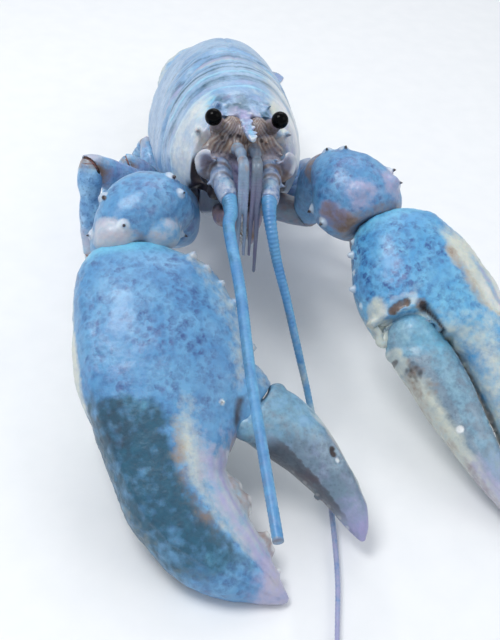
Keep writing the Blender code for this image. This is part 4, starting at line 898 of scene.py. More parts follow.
cutter_teeth = []
forms = []
for i, ahead in enumerate(np.linspace(57, 121, 22)):
    inward = edge_of(CUTTER_PALM, ahead, 1)
    length = 1.3 + 0.5 * (i % 4 == 1)
    forms.append(CUTTER.spine((ahead, inward - 0.5), (0.1, 1), length, 1.1, 1.0, 0.3))
    cutter_teeth.append((ahead, inward + 0.8))
warts = []
for ahead, length, wide in ((4, 2.6, 1.9), (9, 3.8, 2.8), (15, 2.2, 1.8), (21, 3.8, 3.0), (28, 2.4, 2.2)):
    inward = edge_of(CUTTER_PALM, ahead, 1)
    forms.append(CUTTER.spine((ahead, inward - 1.4, 2.5), (-0.2, 1, 0.3), length, wide, 1.0, 0.3))
    warts.append((ahead - 0.6, inward + 1.2, 3.4))
cutter_palm = swept("cutter_palm_shell", CUTTER.stations(CUTTER_PALM), CUTTER.up, CLAW_SIDES, CLAW_POWER,
                    square=CUTTER.forward)
way = Vector(CUTTER_HINGE_WAY).normalized()
aside = Vector((-way.y, way.x))
block = []
for far, near_side in ((-GAP, -CUTTER_GAPE), (60.0, -CUTTER_GAPE - 60.0 * way.y)):
    corners = []
    for out, rise in ((near_side, -30), (60, -30), (60, 30), (near_side, 30)):
        spot = Vector(CUTTER_HINGE) + way * far + aside * out
        corners.append(CUTTER.at(spot.x, spot.y, rise))
    block.append(corners)
block = lofted("hinge_room", block)
room_for_finger = cutter_palm.modifiers.new("room", "BOOLEAN")
room_for_finger.object = block
bpy.context.view_layer.objects.active = cutter_palm
bpy.ops.object.modifier_apply(modifier="room")
bpy.data.objects.remove(block)
for back, inward, rise, wide in ((37.0, 16.0, 5.0, 3.6), (41.5, 14.6, 2.5, 3.4)):
    forms.append(ball(CUTTER.at(back, inward, rise), wide, segments=24, rings=16))
melt(cutter_palm, forms, CLAW_VOXEL, 5)
points, ahead, inward, rise, width = over_claw(cutter_palm, CUTTER, CUTTER_PALM)
plan, place = (ahead, inward), (ahead, inward, rise)
edges = fade(0.55, 0.95, np.abs(width))
furrow = -0.8 * bell(width, 0.35, 0.14) * fade(56, 70, ahead) * fade(0, 4, rise)
slot = near_any(plan, [(34.8, 5.2), (34.6, 7.0), (34.8, 8.8), (35.3, 10.2)], 2.0) * fade(4, 8, rise)
sockets = np.maximum(slot, near_any(plan, [(37.6, 0.4)], 2.2) * fade(4, 8, rise))
seat = fade(36.8, 39.0, ahead + 0.14 * (inward - 4)) * fade(-2.4, -0.4, inward) * fade(0, 5, rise)
line = bell(inward, np.interp(ahead, [38, 42.6, 47, 52], [-0.4, -1.7, -2.6, -4.2]), 0.8)
line = line * fade(37, 38.5, ahead) * fade(54, 51, ahead) * fade(2, 6, rise)
lift(cutter_palm, -4.6 * seat - 1.2 * line + waves(points, (0.4, 12, 8.0), (0.18, 4.2, 5.0))
     + (0.05 + 0.12 * edges) * lumps(points, 1.5, 6.0) + furrow - 0.9 * sockets)
rest_on_floor(cutter_palm)
low_side = fade(2, -6, rise)
outer_margin = fade(-0.36, -0.62, width + 0.1 * lumps(points, 6, 17.0)) * fade(8, 24, ahead)
streak = bell(width, -0.78, 0.06) * fade(24, 34, ahead)
paint(
    cutter_palm,
    cream=np.maximum(outer_margin, 0.8 * low_side) * (1 - 0.6 * streak)
    + 0.28 * fade(36, 52, ahead) + 0.25 * fade(26, 36, ahead) * fade(0.0, 0.4, width)
    + 0.7 * near_any(place, [(37, 16.0, 5.0), (41.5, 14.6, 2.5), (32, 13.0, 7.5)], 6.0),
    lilac=0.6 * fade(84, 104, ahead) + 0.4 * streak,
    tan=0.9 * slot + 0.7 * near_any(plan, [(37.2, 0.6)], 2.8) * fade(4, 8, rise)
    + 0.35 * bell(width, -0.50, 0.10) * fade(14, 24, ahead)
    + near_any(place, [(37, 16.0, 5.0), (41.5, 14.6, 2.5)], 5.0) * lumps(points, 1.6, 41.0),
    cyan=0.35 * fade(26, 40, ahead) * fade(70, 50, ahead) + 0.6 * fade(8, 1, ahead),
    mottled=fade(50, 32, ahead) * fade(-0.6, -0.35, width) + 0.5 * fade(100, 60, ahead),
    white=np.maximum(0.75 * near_any(plan, cutter_teeth, 1.2) * fade(52, 58, ahead),
                     0.6 * near_any(place, warts, 2.6))
    + 0.5 * fade(-0.5, -0.7, width) * fade(30, 42, ahead) * (1 - streak)
    + 0.35 * near_any(plan, [(34.4, 2.6), (33.4, 5.0), (33.0, 8.0), (34.0, 12.0)], 3.0) * fade(4, 8, rise)
    * (1 - slot),
    black=0.55 * slot + near_any(plan, [(37.6, 0.2)], 1.7) * fade(6, 10, rise) + 0.95 * line
    + 0.55 * fade(0.93, 1.0, width) * fade(50, 56, ahead) * fade(5, 1, rise),
)
fix(cutter_palm, bright_shell, "shell_blue", "cutter_palm")

forms = []
cutter_teeth = []
for i, ahead in enumerate(np.linspace(54, 114, 22)):
    inward = edge_of(CUTTER_FINGER, ahead, -1)
    forms.append(CUTTER.spine((ahead, inward + 0.9), (0.1, -1), 0.9, 1.0, 1.0, 0.3))
    cutter_teeth.append((ahead, inward))
for ahead, inward, rise, wide in ((43.6, 4.4, 2.8, 8.6), (47.0, 3.0, 1.5, 8.6), (47.5, 12.4, 0.0, 3.4)):
    forms.append(ball(CUTTER.at(ahead, inward, rise), wide, segments=40, rings=28))
rows = [(ahead, inward - 0.4, half + 0.5, thick) for ahead, inward, half, thick in CUTTER_FINGER]
rows = finger_rows(rows, CUTTER_HINGE, CUTTER_HINGE_WAY)
cutter_finger = swept("cutter_finger_shell", CUTTER.stations(rows), CUTTER.up, FINGER_SIDES, CLAW_POWER,
                      CUTTER.way(*CUTTER_HINGE_WAY))
melt(cutter_finger, forms, FINGER_VOXEL, 5)
points, ahead, inward, rise, width = over_claw(cutter_finger, CUTTER, CUTTER_FINGER)
plan = (ahead, inward)
dot = near_any(plan, [(80.2, 5.3)], 1.6) * fade(0, 3, rise)
ridge = 0.5 * bell(width, 0.45, 0.16) * fade(50, 60, ahead) * fade(0, 4, rise)
lift(cutter_finger, waves(points, (0.3, 9, 2.0), (0.14, 3.5, 4.0), (0.06, 1.3, 6.0)) + ridge - 0.4 * dot)
paint(
    cutter_finger,
    cream=0.8 * fade(0.35, 0.8, width + 0.15 * lumps(points, 5, 9.0)) * fade(52, 60, ahead)
    + 0.6 * fade(1, -4, rise) + 0.12 * fade(54, 64, ahead) + 0.15 * fade(52, 44, ahead)
    + 0.65 * near_any(plan, [(48.5, 14.2), (52.5, 13.6)], 3.4)
    + 0.3 * fade(92, 110, ahead),
    lilac=0.5 * fade(80, 104, ahead),
    tan=(0.30 + 0.5 * lumps(points, 1.8, 5.0)) * near_any(plan, [(55, 10.6), (59, 9.6), (64, 8.6)], 4.0)
    * fade(1, 5, rise) + 0.3 * fade(0.75, 1.0, width) * fade(52, 60, ahead),
    cyan=0.35 * fade(58, 47, ahead) + 0.25 * fade(0.4, 0.1, width),
    mottled=0.9 * fade(100, 80, ahead),
    white=np.maximum(dot, 0.3 * near_any(plan, cutter_teeth, 1.1)) + 0.25 * fade(90, 108, ahead),
    black=0.6 * fade(-0.93, -1.0, width) * fade(50, 56, ahead) * fade(5, 1, rise)
    + 0.55 * near_any(plan, [(55.5, 11.0), (58.0, 10.6)], 3.0) * (0.8 + lumps(points, 1.5, 3.0))
    + 0.7 * near_any(plan, [(50.6, 14.6)], 1.3),
)
fix(cutter_finger, grey_shell, "shell_blue", "cutter_finger")


# Arms: three hollow shells carry each claw. The shoulder leaves the breast, the arm rises to the
# elbow, and the broad wrist, with dark-tipped spines in pale rings and two pale knuckles over the
# claw, turns down to it. Their ends turn tan where soft skin shows at the bends.
BREAST_HALF_WIDTH = 12.0
HIP_RISE = -3.6
SHOULDER_BACK = 29.0
SHOULDER_GIRTHS = (5.3, 5.8, 6.0, 5.8, 5.6, 5.2)
# Share of the way, half width, half height
ARM_FORM = [(0, 5.3, 5.3), (0.24, 7.0, 7.4), (0.5, 8.2, 8.8), (0.74, 9.0, 9.6), (1, 7.5, 7.8)]
WRIST_FORM = [
    (0, 7.4, 7.6), (0.3, 13.0, 13.0), (0.52, 15.8, 15.2), (0.78, 15.8, 14.5), (0.92, 13.8, 12.5),
    (1, 11.5, 10.5),
]


def joint_normal(before, joint, after):
    """Across this direction both sides of a bent joint are cut."""
    return ((joint - before).normalized() + (after - joint).normalized()).normalized()


def curve_through(places, count):
    """Places spaced along one smooth curve through the given ones."""
    places = [Vector(place) for place in places]
    padded = [places[0] * 2 - places[1]] + places + [places[-1] * 2 - places[-2]]
    made = []
    for i in range(count):
        far = i / (count - 1) * (len(places) - 1)
        k = min(int(far), len(places) - 2)
        t = far - k
        a, b, c, d = padded[k:k + 4]
        bend = (2 * a - 5 * b + 4 * c - d) * t ** 2
        made.append(0.5 * (2 * b + (c - a) * t + bend + (3 * b - 3 * c + d - a) * t ** 3))
    return made


def met_from(piece, outside, inside):
    """The place where a line from outside to inside first meets the piece, in millimetres."""
    start, end = (outside - MIDDLE) / METRE, (inside - MIDDLE) / METRE
    hit, place, _, _ = piece.ray_cast(start, (end - start).normalized())
    return place * METRE + MIDDLE if hit else Vector(inside)


# For each claw: the joints before the wrist, the shoulder's bend, the arm's girth, how far the wrist
# is arched, its spines by distance ahead and inward, direction and length, its knuckles by distance
# ahead, inward and up and radius, and where its skin is folded
for claw, kind, joints, bend_at, girth, bow, spines, knuckles, fold in (
    (CRUSHER, "crusher", [Vector((-19.5, 11.0, 34.0)), Vector((-27.5, -5.0, 54.0))],
     Vector((-19.5, 22.0, 34.5)), 1.28, 8.0,
     [(-21, 9, (0, 0.5, 1), 3.0), (-14, 12, (0, 0.4, 1), 3.0), (-17, -4, (0, -0.3, 1), 3.0),
      (-7, -1.5, (0.2, -0.1, 1), 3.0), (-7, -6, (0, -1, 0.6), 2.8), (-8, 8, (0.2, 1, 0.1), 2.8),
      (-15, 6, (0, 1, -0.2), 2.8)],
     [(-3.4, -5.0, 7.4, 6.8), (-3.8, 9.6, 6.2, 7.4)], (0.0, 0.0, -11.0)),
    (CUTTER, "cutter", [Vector((32.0, 22.0, 35.0)), Vector((34.0, 11.0, 62.0))],
     Vector((21.5, 26.0, 35.5)), 1.0, 2.5,
     [(-27, -0.5, (-0.3, -0.1, 1), 3.2), (-29, 3, (-0.6, 0.2, 1), 3.0), (-9, -8, (0, -0.6, 1), 3.2),
      (-15, -7, (0, -0.8, 1), 3.0), (-7, 9, (0, 1, 0.5), 2.8), (-14, 8, (0, 1, 0.2), 2.8)],
     [(-9.0, 2.6, 11.8, 5.4), (-9.5, -9.6, 8.4, 4.6)], (-4.0, 11.6, 7.6)),
):
    side = 1 if claw.wrist.x > 0 else -1
    hip = body(side * (BREAST_HALF_WIDTH + GAP), SHOULDER_BACK, HIP_RISE)
    elbow_ring = joint_normal(bend_at, joints[0], joints[1])
    middles = curve_through([hip, bend_at, joints[0] - elbow_ring * GAP / 2], len(SHOULDER_GIRTHS))
    stations = [(middle, thick, thick) for middle, thick in zip(middles, SHOULDER_GIRTHS)]
    shoulder = swept(kind + "_shoulder_shell", stations, UP, 32, 2.0, Vector((side, 0, 0)),
                     elbow_ring, 0.8)
    melt(shoulder, [], 0.5, 4)
    points = points_of(shoulder)
    lift(shoulder, waves(points, (0.3, 6, 1.0), (0.12, 2, 3.0)))
    paint(shoulder, mottled=0.5, tan=0.35 + 0.3 * lumps(points, 8, 2.0), lilac=0.3)
    fix(shoulder, grey_shell, "joint_tan", kind + "_shoulder")

    wrist_ring = joint_normal(joints[0], joints[1], claw.wrist)
    first, last = joints[0] + elbow_ring * GAP / 2, joints[1] - wrist_ring * GAP / 2
    stations = [(first.lerp(last, share), a * girth, b * girth) for share, a, b in ARM_FORM]
    arm = swept(kind + "_arm_shell", stations, UP, 40, 2.0, elbow_ring, wrist_ring, 0.8)
    melt(arm, [], 0.5, 5)
    points = points_of(arm)
    along_arm = (points - np.array(first)) @ np.array((last - first).normalized()) / (last - first).length
    lift(arm, waves(points, (0.4, 8, 1.0), (0.12, 2.2, 3.0)))
    paint(arm, mottled=0.9, lilac=0.15,
          tan=0.7 * fade(0.9, 1.0, along_arm) + 0.6 * fade(0.1, 0.0, along_arm))
    fix(arm, blue_shell, "shell_blue", kind + "_arm")

    first, last = joints[1] + wrist_ring * GAP / 2, claw.wrist - claw.forward * GAP
    wrist_section = smooth_reading(WRIST_FORM)
    rings = []
    for share in np.linspace(0, 1, 46):
        centre = first.lerp(last, share) + Vector((0, 0, bow * math.sin(math.pi * share)))
        facing = wrist_ring.lerp(claw.forward, fade(0, 0.85, share))
        half_width, half_height = wrist_section(share)
        rings.append(section_ring(centre, facing, UP, half_width, half_height, 56, 2.2))
    wrist = lofted(kind + "_wrist_shell", rings)
    bpy.context.view_layer.update()
    middle = first.lerp(last, 0.5)
    forms, roots, tips = [], [], []
    for further, aside_at, outward, length in spines:
        outward = claw.way(*outward).normalized()
        inside = claw.at(further, aside_at, 0)
        root = met_from(wrist, inside + outward * 60, inside)
        way = (outward * 0.85 + claw.forward * 0.4).normalized()
        forms.append(spike(root, way, length, 1.7, 0.8, 0.25))
        forms.append(ball(root - outward * 1.2, 2.3))
        roots.append(root)
        tips.append(root + way * length)
    for further, inward, rise, radius in knuckles:
        forms.append(ball(claw.at(further, inward, rise), radius, 0.8, claw.forward))
    melt(wrist, forms, 0.55, 4)
    points = points_of(wrist)
    ahead, inward, rise = claw.places(points)
    columns = (points[:, 0], points[:, 1], points[:, 2])
    place = (ahead, inward, rise)
    lobes = near_any(place, [spot[:3] for spot in knuckles], 9.5 if kind == "crusher" else 8.0)
    skin_fold = near_any(place, [fold, (fold[0] - 4.5, fold[1], fold[2])], 6.5)
    lift(wrist, waves(points, (0.45, 9, 5.0), (0.15, 3, 3.0), (0.06, 1.3, 8.0)))
    paint(
        wrist,
        # The knuckles are pale in themselves; the white on them, and the fuller cream on the crusher's, is
        # painted highlight.
        cream=(0.95 if kind == "crusher" else 0.45) * lobes + 0.5 * fade(-4, -10, rise),
        tan=0.5 * fade(-4.5, -0.5, ahead) * (1 - lobes)
        + (0.55 + 0.4 * lumps(points, 2.5, 27.0)) * skin_fold,
        lilac=(0.3 if kind == "crusher" else 0.55) * lobes + 0.12 + 0.65 * skin_fold,
        cyan=0.15 * fade(-22, -8, ahead) * (1 - lobes),
        mottled=1 - 0.8 * lobes,
        white=0.55 * near_any(columns, roots, 2.7) + (0.3 if kind == "crusher" else 0.1) * lobes,
        black=near_any(columns, tips, 1.7) + 0.3 * skin_fold,
    )
    fix(wrist, blue_shell, "shell_blue", kind + "_wrist")


# Eyes: each is a round black cornea of fine facets at the end of a short movable stalk, which
# stands in the notch beside the beak. The cornea is wet and glossy, the stalk brownish shell.
SIDES = ((-1, "right"), (1, "left"))
EYE_SPREAD = 11.6
EYE_AHEAD = 8.0
EYE_RISE = 36.9
EYE_RADIUS = 3.0
BROW = 31.0

cornea = empty_material("wet_black_cornea")
tree = cornea.node_tree
place = node(tree, "TexCoord").outputs["Object"]
facets = node(tree, "TexVoronoi", {"Scale": 1 / 0.00035}, {"Vector": place})
fine = node(tree, "Bump", {"Strength": 0.06, "Distance": 0.0001}, {"Height": facets.outputs["Distance"]})
deepness = node(tree, "MixRGB", {"Color1": linear("#010102"), "Color2": linear("#050507")},
                {"Fac": facets.outputs["Distance"]})
surface(tree, {"Roughness": 0.14, "IOR": 1.4, "Specular IOR Level": 0.12},
        {"Base Color": deepness.outputs["Color"], "Normal": fine.outputs["Normal"]})
stalk_shell = chitin("brown_stalk_shell", "#857a70", "#655a52", "#3d332e", 0.34, 0.6, 0.5, 0.4)

for side, side_name in SIDES:
    eye = ball(body(side * EYE_SPREAD, -EYE_AHEAD, EYE_RISE), EYE_RADIUS)
    eye.name = "eye_globe_" + side_name
    bpy.ops.object.transform_apply(location=True, rotation=True, scale=True)
    fix(eye, cornea, "eye_black", "eye_" + side_name)
    stations = [
        (body(side * 8.6, -2.2, BROW), 2.6, 2.6), (body(side * 9.5, -3.8, 33.2), 2.7, 2.7),
        (body(side * 10.5, -5.6, 34.9), 2.5, 2.5), (body(side * 11.2, -7.0, 36.2), 2.1, 2.1),
    ]
    stalk = swept("eye_stalk_" + side_name, stations, Vector((0, 1, 0)), 24)
    melt(stalk, [ball(body(side * 9.0, -3.4, 33.4), 2.6)], 0.4, 4)
    paint(stalk, mottled=0.9, tan=0.3, lilac=0.3, black=0.45 * lumps(points_of(stalk), 2.0, 4.0))
    fix(stalk, stalk_shell, "joint_tan", "eye_" + side_name)


# Face: the grey-brown front of the head inside the shell's edge, thin shell with a golden brow that
# runs in rays from the beak, swollen sockets for both pairs of feelers and the dark red mouth, which
# with the face's lower sides is painted near black as the shade it lies in.
CROWN = 28.5
# Across and up, from the crown round the left side to the chin
FACE_OUTLINE = [(10.6, CROWN), (13.2, 23.5), (13.7, 18.0), (12.8, 11.0), (9.5, 5.6)]
# Distance back, share of the width, height of the crown, rise of the chin
FACE_SECTIONS = [
    (8.6, 1.0, CROWN, 0.0), (-1.2, 1.0, CROWN, 0.6), (-1.7, 1.0, BROW, 0.6), (-4.5, 1.0, BROW, 2.0),
    (-6.6, 0.96, BROW - 0.6, 3.8),
]
# Swellings of the face: aside, back, up, radius and how flat; the first ones are paired
FACE_LUMPS = [
    (4.6, -3.6, 32.6, 3.9, 0.9), (8.8, -2.2, 31.8, 3.4, 0.9), (9.8, -6.0, 17.6, 5.9, 0.7),
    (3.1, -6.2, 25.8, 3.3, 0.8), (12.0, -3.8, 24.8, 2.7, 1.0), (3.3, -4.6, 7.8, 3.5, 1.0),
    (8.7, -4.0, 9.4, 3.4, 1.0), (6.8, -5.6, 22.0, 2.3, 0.8), (7.4, -5.8, 28.6, 1.7, 0.8),
]

face_shell = chitin("grey_brown_face_shell", "#928f9c", "#696a7c", "#443b50", 0.32, 0.9, 0.8, 0.6)
rings = []
for back, narrow, crown, chin in FACE_SECTIONS:
    left = [(x * narrow, z * crown / CROWN + chin * (1 - z / CROWN)) for x, z in FACE_OUTLINE]
    outline = left + [(-x, z) for x, z in reversed(left)]
    rings.append([body(x, back, z) for x, z in outline])
face = lofted("face_shell", rings)
forms = [ball(body(0, -5.0, 31.2), 3.9), ball(body(0, -5.8, 19.0), 3.0), ball(body(0, -5.2, 12.4), 3.3)]
for aside, back, rise, radius, flat in FACE_LUMPS:
    for side in (-1, 1):
        forms.append(ball(body(side * aside, back, rise), radius, flat, body_way(0, -1, 0)))
for side in (-1, 1):
    forms.append(spike(body(side * 7.6, -7.0, 28.6), body_way(side * 0.5, -1, 0.1), 2.2, 0.9, 0.9))
    forms.append(spike(body(side * 13.0, -6.0, 24.2), body_way(side * 0.5, -1, 0.2), 2.6, 1.1, 0.9))
melt(face, forms, 0.45, 5)
points = points_of(face)
side, back, rise = body_places(points)
turn = np.arctan2(np.abs(side), np.abs(42.0 - rise))
rays = 0.5 + 0.5 * np.sin(turn * 74 + 2.4 * lumps(points, 3.0, 2.0))
brow = fade(22.0, 26.5, rise) * fade(4, 0, back)
lift(face, (0.30 * rays - 0.15) * brow + waves(points, (0.3, 3.2, 4.0), (0.14, 1.2, 9.0)))
# The lower sides and bottom of the face, round the mouth, are painted near black below: painted shade over
# the dark red skin there.
gape = fade(21.5, 17.5, rise) * fade(6.5, 9.0, np.abs(side)) + fade(12.5, 9.5, rise)
dots = near_any((side, rise), [(-2.4, 30.6), (-5.2, 30.2), (2.6, 30.4), (6.0, 29.0), (-8.0, 29.6)], 1.0)
paint(
    face,
    tan=brow * (0.75 - 0.3 * rays + 0.3 * lumps(points, 2.0, 14.0)),
    cream=brow * rays * 0.5 + 0.25 * near_any((side, rise), [(9.8, 17.6), (-9.8, 17.6)], 6.5),
    lilac=0.7 * fade(24, 18, rise) * fade(8, 3, np.abs(side)),
    black=0.9 * gape + 0.8 * dots * brow + 0.3 * brow * (1 - rays),
    mottled=0.9,
)
fix(face, face_shell, "joint_tan", "face")


# Feeler roots: three stout joints of pale mottled shell carry each long feeler. The first bears a
# broad, flat, whitish scale that ends in a point and shelters the eye.
ANTENNA_KNEE = (7.7, -24.5, 14.9)
ANTENNA_START = (6.8, -28.0, 14.0)
# Aside, back, up, half width and half height
ROOT_STATIONS = [
    (8.6, -7.8, 17.5, 4.0, 4.6), (8.9, -10.2, 18.2, 4.8, 5.2), (8.8, -12.4, 18.2, 4.4, 4.8),
    (8.7, -13.5, 17.9, 3.6, 3.9), (8.5, -15.0, 17.5, 4.1, 4.4), (8.2, -17.4, 16.9, 3.9, 4.2),
    (8.0, -18.7, 16.5, 3.2, 3.4), (7.8, -20.2, 16.1, 3.6, 3.8), (7.4, -23.2, 15.3, 3.6, 3.8),
    (7.1, -26.0, 14.6, 3.4, 3.4), (6.8, -28.0, 14.0, 3.0, 3.0),
]
SCALE_STATIONS = [
    (10.6, -9.0, 18.4, 3.0, 2.2), (12.8, -11.0, 19.8, 4.4, 1.4), (13.9, -13.2, 22.6, 4.3, 1.1),
    (13.8, -15.6, 25.4, 3.0, 0.9), (13.2, -17.8, 27.6, 0.6, 0.4),
]

root_shell = chitin("pale_root_shell", "#a7b3c6", "#7d92b0", "#35639a", 0.3, 1.2, 0.4, 0.5)
for side, side_name in SIDES:
    way = (body(side * ANTENNA_START[0], *ANTENNA_START[1:])
           - body(side * ANTENNA_KNEE[0], *ANTENNA_KNEE[1:])).normalized()
    stations = [(body(side * x, y, z), a, b) for x, y, z, a, b in ROOT_STATIONS]
    base = swept("feeler_root_" + side_name, stations, UP, 36, 2.0, body_way(0, -1, 0), way,
                 0.5)
    stations = [(body(side * x, y, z), a, b) for x, y, z, a, b in SCALE_STATIONS]
    scale = swept("scale", stations, body_way(0, -1, 0.75), 28, 2.0, spacing=0.5)
    forms = [
        scale, spike(body(side * 14.6, -10.5, 19.6), body_way(side * 0.6, -1, 0.1), 3.4, 1.3, 0.9),
        spike(body(side * 12.6, -17.0, 16.2), body_way(side * 0.7, -1, 0.0), 2.2, 1.1, 0.9),
        spike(body(side * 5.8, -16.4, 18.2), body_way(side * -0.5, -1, 0.3), 1.8, 1.0, 0.9),
    ]
    melt(base, forms, 0.4, 3)
    points = points_of(base)
    aside, back, rise = body_places(points)
    aside = aside * side
    on_scale = fade(20.6, 22.0, rise + 0.55 * np.maximum(0, aside - 12) + 0.2 * (back + 10))
    on_scale = on_scale * fade(10.6, 12.0, aside)
    rim = fade(1.6, 3.4, np.hypot(aside - 13.6, (rise - 22.8) * 0.7))
    lift(base, waves(points, (0.2, 4, 3.0), (0.08, 1.3, 5.0)) - 0.35 * on_scale * (1 - rim))
    seams = bell(back, -13.7, 0.7) + bell(back, -18.8, 0.6)
    # Painted shade on the left root below its scale, where the opening beside it lies in shadow.
    shade_under_scale = (side > 0) * fade(22.5, 20.0, rise) * fade(11.0, 12.4, aside) * fade(-13.5, -12, back)
    blotches = near_any((aside, back), [(8.2, -22.6), (6.6, -24.8)], 2.4) * fade(13.5, 15.5, rise)
    paint(
        base,
        cream=on_scale * (0.3 + 0.6 * rim) + 0.15 * fade(-10, -14, back) * (1 - on_scale),
        tan=(0.5 * seams + 0.5 * fade(-10.5, -8, back)) * (1 - on_scale) + 0.35 * on_scale * (1 - rim),
        lilac=0.35 * on_scale + 0.12,
        mottled=1.0 - 0.7 * on_scale + 1.2 * blotches,
        deep=0.15 * blotches,
        cyan=0.3 * blotches,
        white=0.4 * on_scale * rim,
        black=0.45 * seams * (1 - on_scale) + 0.25 * on_scale * (1 - rim) + 0.85 * shade_under_scale,
    )
    fix(base, root_shell, "joint_tan", "antenna_base_" + side_name)


# Long feelers: tapered whips of hundreds of short hard rings, blue, with painted highlight along one
# side and painted shade along the other. The right one is broken off short and held out over the
# claw, the left one trails along the floor.
RIGHT_FEELER = [(-8.2, -40.0, 71.0), (-7.0, -68.0, 69.0), (-6.4, -102.0, 64.0), (-4.2, -149.0, 58.0)]
LEFT_FEELER = [
    (7.6, -34.0, 64.0), (9.8, -38.0, 56.0), (13.4, -45.0, 46.0), (17.3, -54.0, 34.0),
    (21.5, -61.0, 21.0), (25.5, -70.0, 8.0), (27.5, -88.0, 3.2), (25.0, -122.0, 2.3),
    (20.5, -148.0, 2.1), (14.0, -190.0, 2.0), (18.6, -228.0, 1.9),
]
FEELER_RING = 1.4  # length of one of its rings
ROOT_RADIUS = 2.75

feeler_shell = chitin("blue_feeler_shell", "#5b9ac8", "#4583b9", "#28568a", 0.40, 0.5, 0.3, 0.3)
for side, side_name, places, end_radius, steps in (
    (-1, "right", RIGHT_FEELER, 1.45, 420), (1, "left", LEFT_FEELER, 0.5, 900),
):
    knee = body(side * ANTENNA_KNEE[0], *ANTENNA_KNEE[1:])
    start = body(side * ANTENNA_START[0], *ANTENNA_START[1:])
    way = (start - knee).normalized()
    start = start + way * GAP
    lead = start.lerp(Vector(places[0]), 0.38) + way * 1.6
    centres = curve_through([start, lead] + places, steps)
    travelled = 0.0
    rings = []
    for i, centre in enumerate(centres):
        ahead_of, behind = centres[min(i + 1, len(centres) - 1)], centres[max(i - 1, 0)]
        facing = (ahead_of - behind).normalized()
        facing = way.lerp(facing, fade(0, 6, travelled))
        share = i / (len(centres) - 1)
        radius = ROOT_RADIUS + (end_radius - ROOT_RADIUS) * share ** 0.55
        radius *= 1 + 0.035 * math.sin(2 * math.pi * travelled / FEELER_RING)
        rings.append(section_ring(centre, facing, Vector((0.3, 0, 1)), radius, radius, 16, 2.0))
        travelled += (ahead_of - centre).length
    whip = lofted("feeler_" + side_name, rings)
    points = points_of(whip)
    paint(
        whip,
        mottled=0.5,
        # Cyan on the side turned to the animal's left is painted highlight; the deep blue on the side turned
        # to its right, below, is painted shade.
        cyan=0.35 * fade(-0.2, 0.8, normals_of(whip)[:, 0]),
        cream=0.3 * fade(60, 10, points[:, 2]) * (side > 0),
        deep=0.3 * fade(-0.1, -0.8, normals_of(whip)[:, 0]),
        lilac=0.45 * fade(-60, -120, points[:, 1]) * (side > 0) + 0.15 * fade(-90, -140, points[:, 1]),
        tan=0.5 * fade(-147.6, -148.8, points[:, 1]) * (side < 0),
    )
    fix(whip, feeler_shell, "feeler_blue", "antenna_" + side_name)


# Small feelers: under the beak, each with a jointed root and two soft ringed whips, which hang
# together down the middle of the face, grey-blue on the right and purple on the left.
whip_shell = chitin("soft_whip_shell", "#8fa6bb", "#6c849f", "#55507c", 0.5, 0.3, 0.2, 0.3)
for side, side_name in SIDES:
    stations = [
        (body(side * x, y, z), half, half)
        for x, y, z, half in ((3.0, -7.6, 26.0, 2.1), (2.8, -12.2, 27.2, 2.2), (2.7, -14.4, 27.4, 1.7),
                              (2.6, -16.6, 27.4, 1.9), (2.5, -18.8, 27.2, 1.9), (2.4, -20.2, 27.0, 1.4),
                              (2.3, -23.5, 26.2, 1.7))
    ]
    root = swept("small_feeler_" + side_name, stations, UP, 24, 2.0, body_way(0, -1, 0))
    forms = []
    for spreading, reach, girth in ((side * 0.85, 37.0, 1.25), (side * -0.85, 31.0, 1.15)):
        route = [
            body(side * 2.4 + spreading * 0.7, -21.5, 26.4), body(side * 2.2 + spreading * 1.0, -26.0, 23.6),
            body(side * 2.1 + spreading * 1.2, -28.4, 24.0 - 0.4 * reach),
            body(side * 2.0 + spreading * 1.3, -30.4, 26.0 - reach),
        ]
        middles = curve_through(route, 24)
        stations = [(middle, girth * (1 - 0.55 * (i / 23) ** 1.5), girth * (1 - 0.55 * (i / 23) ** 1.5))
                    for i, middle in enumerate(middles)]
        forms.append(swept("whip", stations, Vector((0, -1, 0.2)), 16, 2.0, spacing=0.6))
    melt(root, forms, 0.3, 2)
    points = points_of(root)
    aside, back, rise = body_places(points)
    hanging = fade(24, 20, rise)
    lift(root, 0.05 * np.sin(2 * np.pi * rise / 0.95) * hanging)
    paint(root, lilac=(0.5 if side > 0 else 0.2) * hanging, mottled=0.7,
          tan=0.55 * fade(-9, -7.5, back) + (0.2 + 0.4 * lumps(points, 1.6, 3.0)) * (1 - hanging),
          deep=(0.3 if side > 0 else 0.0) * hanging, black=0.5 if side > 0 else 0.1 * hanging)
    fix(root, whip_shell, "joint_tan", "antennule_" + side_name)


# Outer jaws: a pair of small legs folded forward under the mouth and hanging down before it, of
# purple-brown shell with stiff brown bristles along their inner edges.
JAW_STATIONS = [
    (5.4, 9.2, -2.0, 2.9, 2.5), (5.7, 2.0, -1.6, 3.3, 2.8), (5.3, -6.0, -0.4, 3.2, 3.0),
    (5.0, -8.6, 0.8, 2.4, 2.4), (4.7, -11.5, 2.0, 2.9, 3.0), (4.4, -14.0, 2.6, 2.2, 2.4),
    (4.1, -15.8, 2.5, 2.7, 2.7), (3.6, -18.2, 0.8, 2.2, 2.3), (3.2, -18.8, -2.4, 1.5, 1.5),
    (3.0, -18.0, -6.0, 0.35, 0.4),
]
BRISTLES = 64


def bristles(name, roots, ways, lengths, radius):
    """Many tapered four-sided bristles as one piece, each set on its root."""
    strands = []
    for root, way, length in zip(roots, ways, lengths):
        way = Vector(way).normalized()
        aside = way.cross(Vector((0.31, 0.42, 0.85))).normalized()
        other = way.cross(aside)
        rings = []
        for share, thick in ((0.0, 1.0), (0.5, 0.7), (1.0, 0.12)):
            sag = Vector((0, 0, -0.12 * length * share ** 2))
            centre = Vector(root) + way * (length * share) + sag
            rings.append([centre + (aside * x + other * y) * radius * thick
                          for x, y in ((1, 0), (0, 1), (-1, 0), (0, -1))])
        strands.append(rings)
    return lofted(name, *strands)


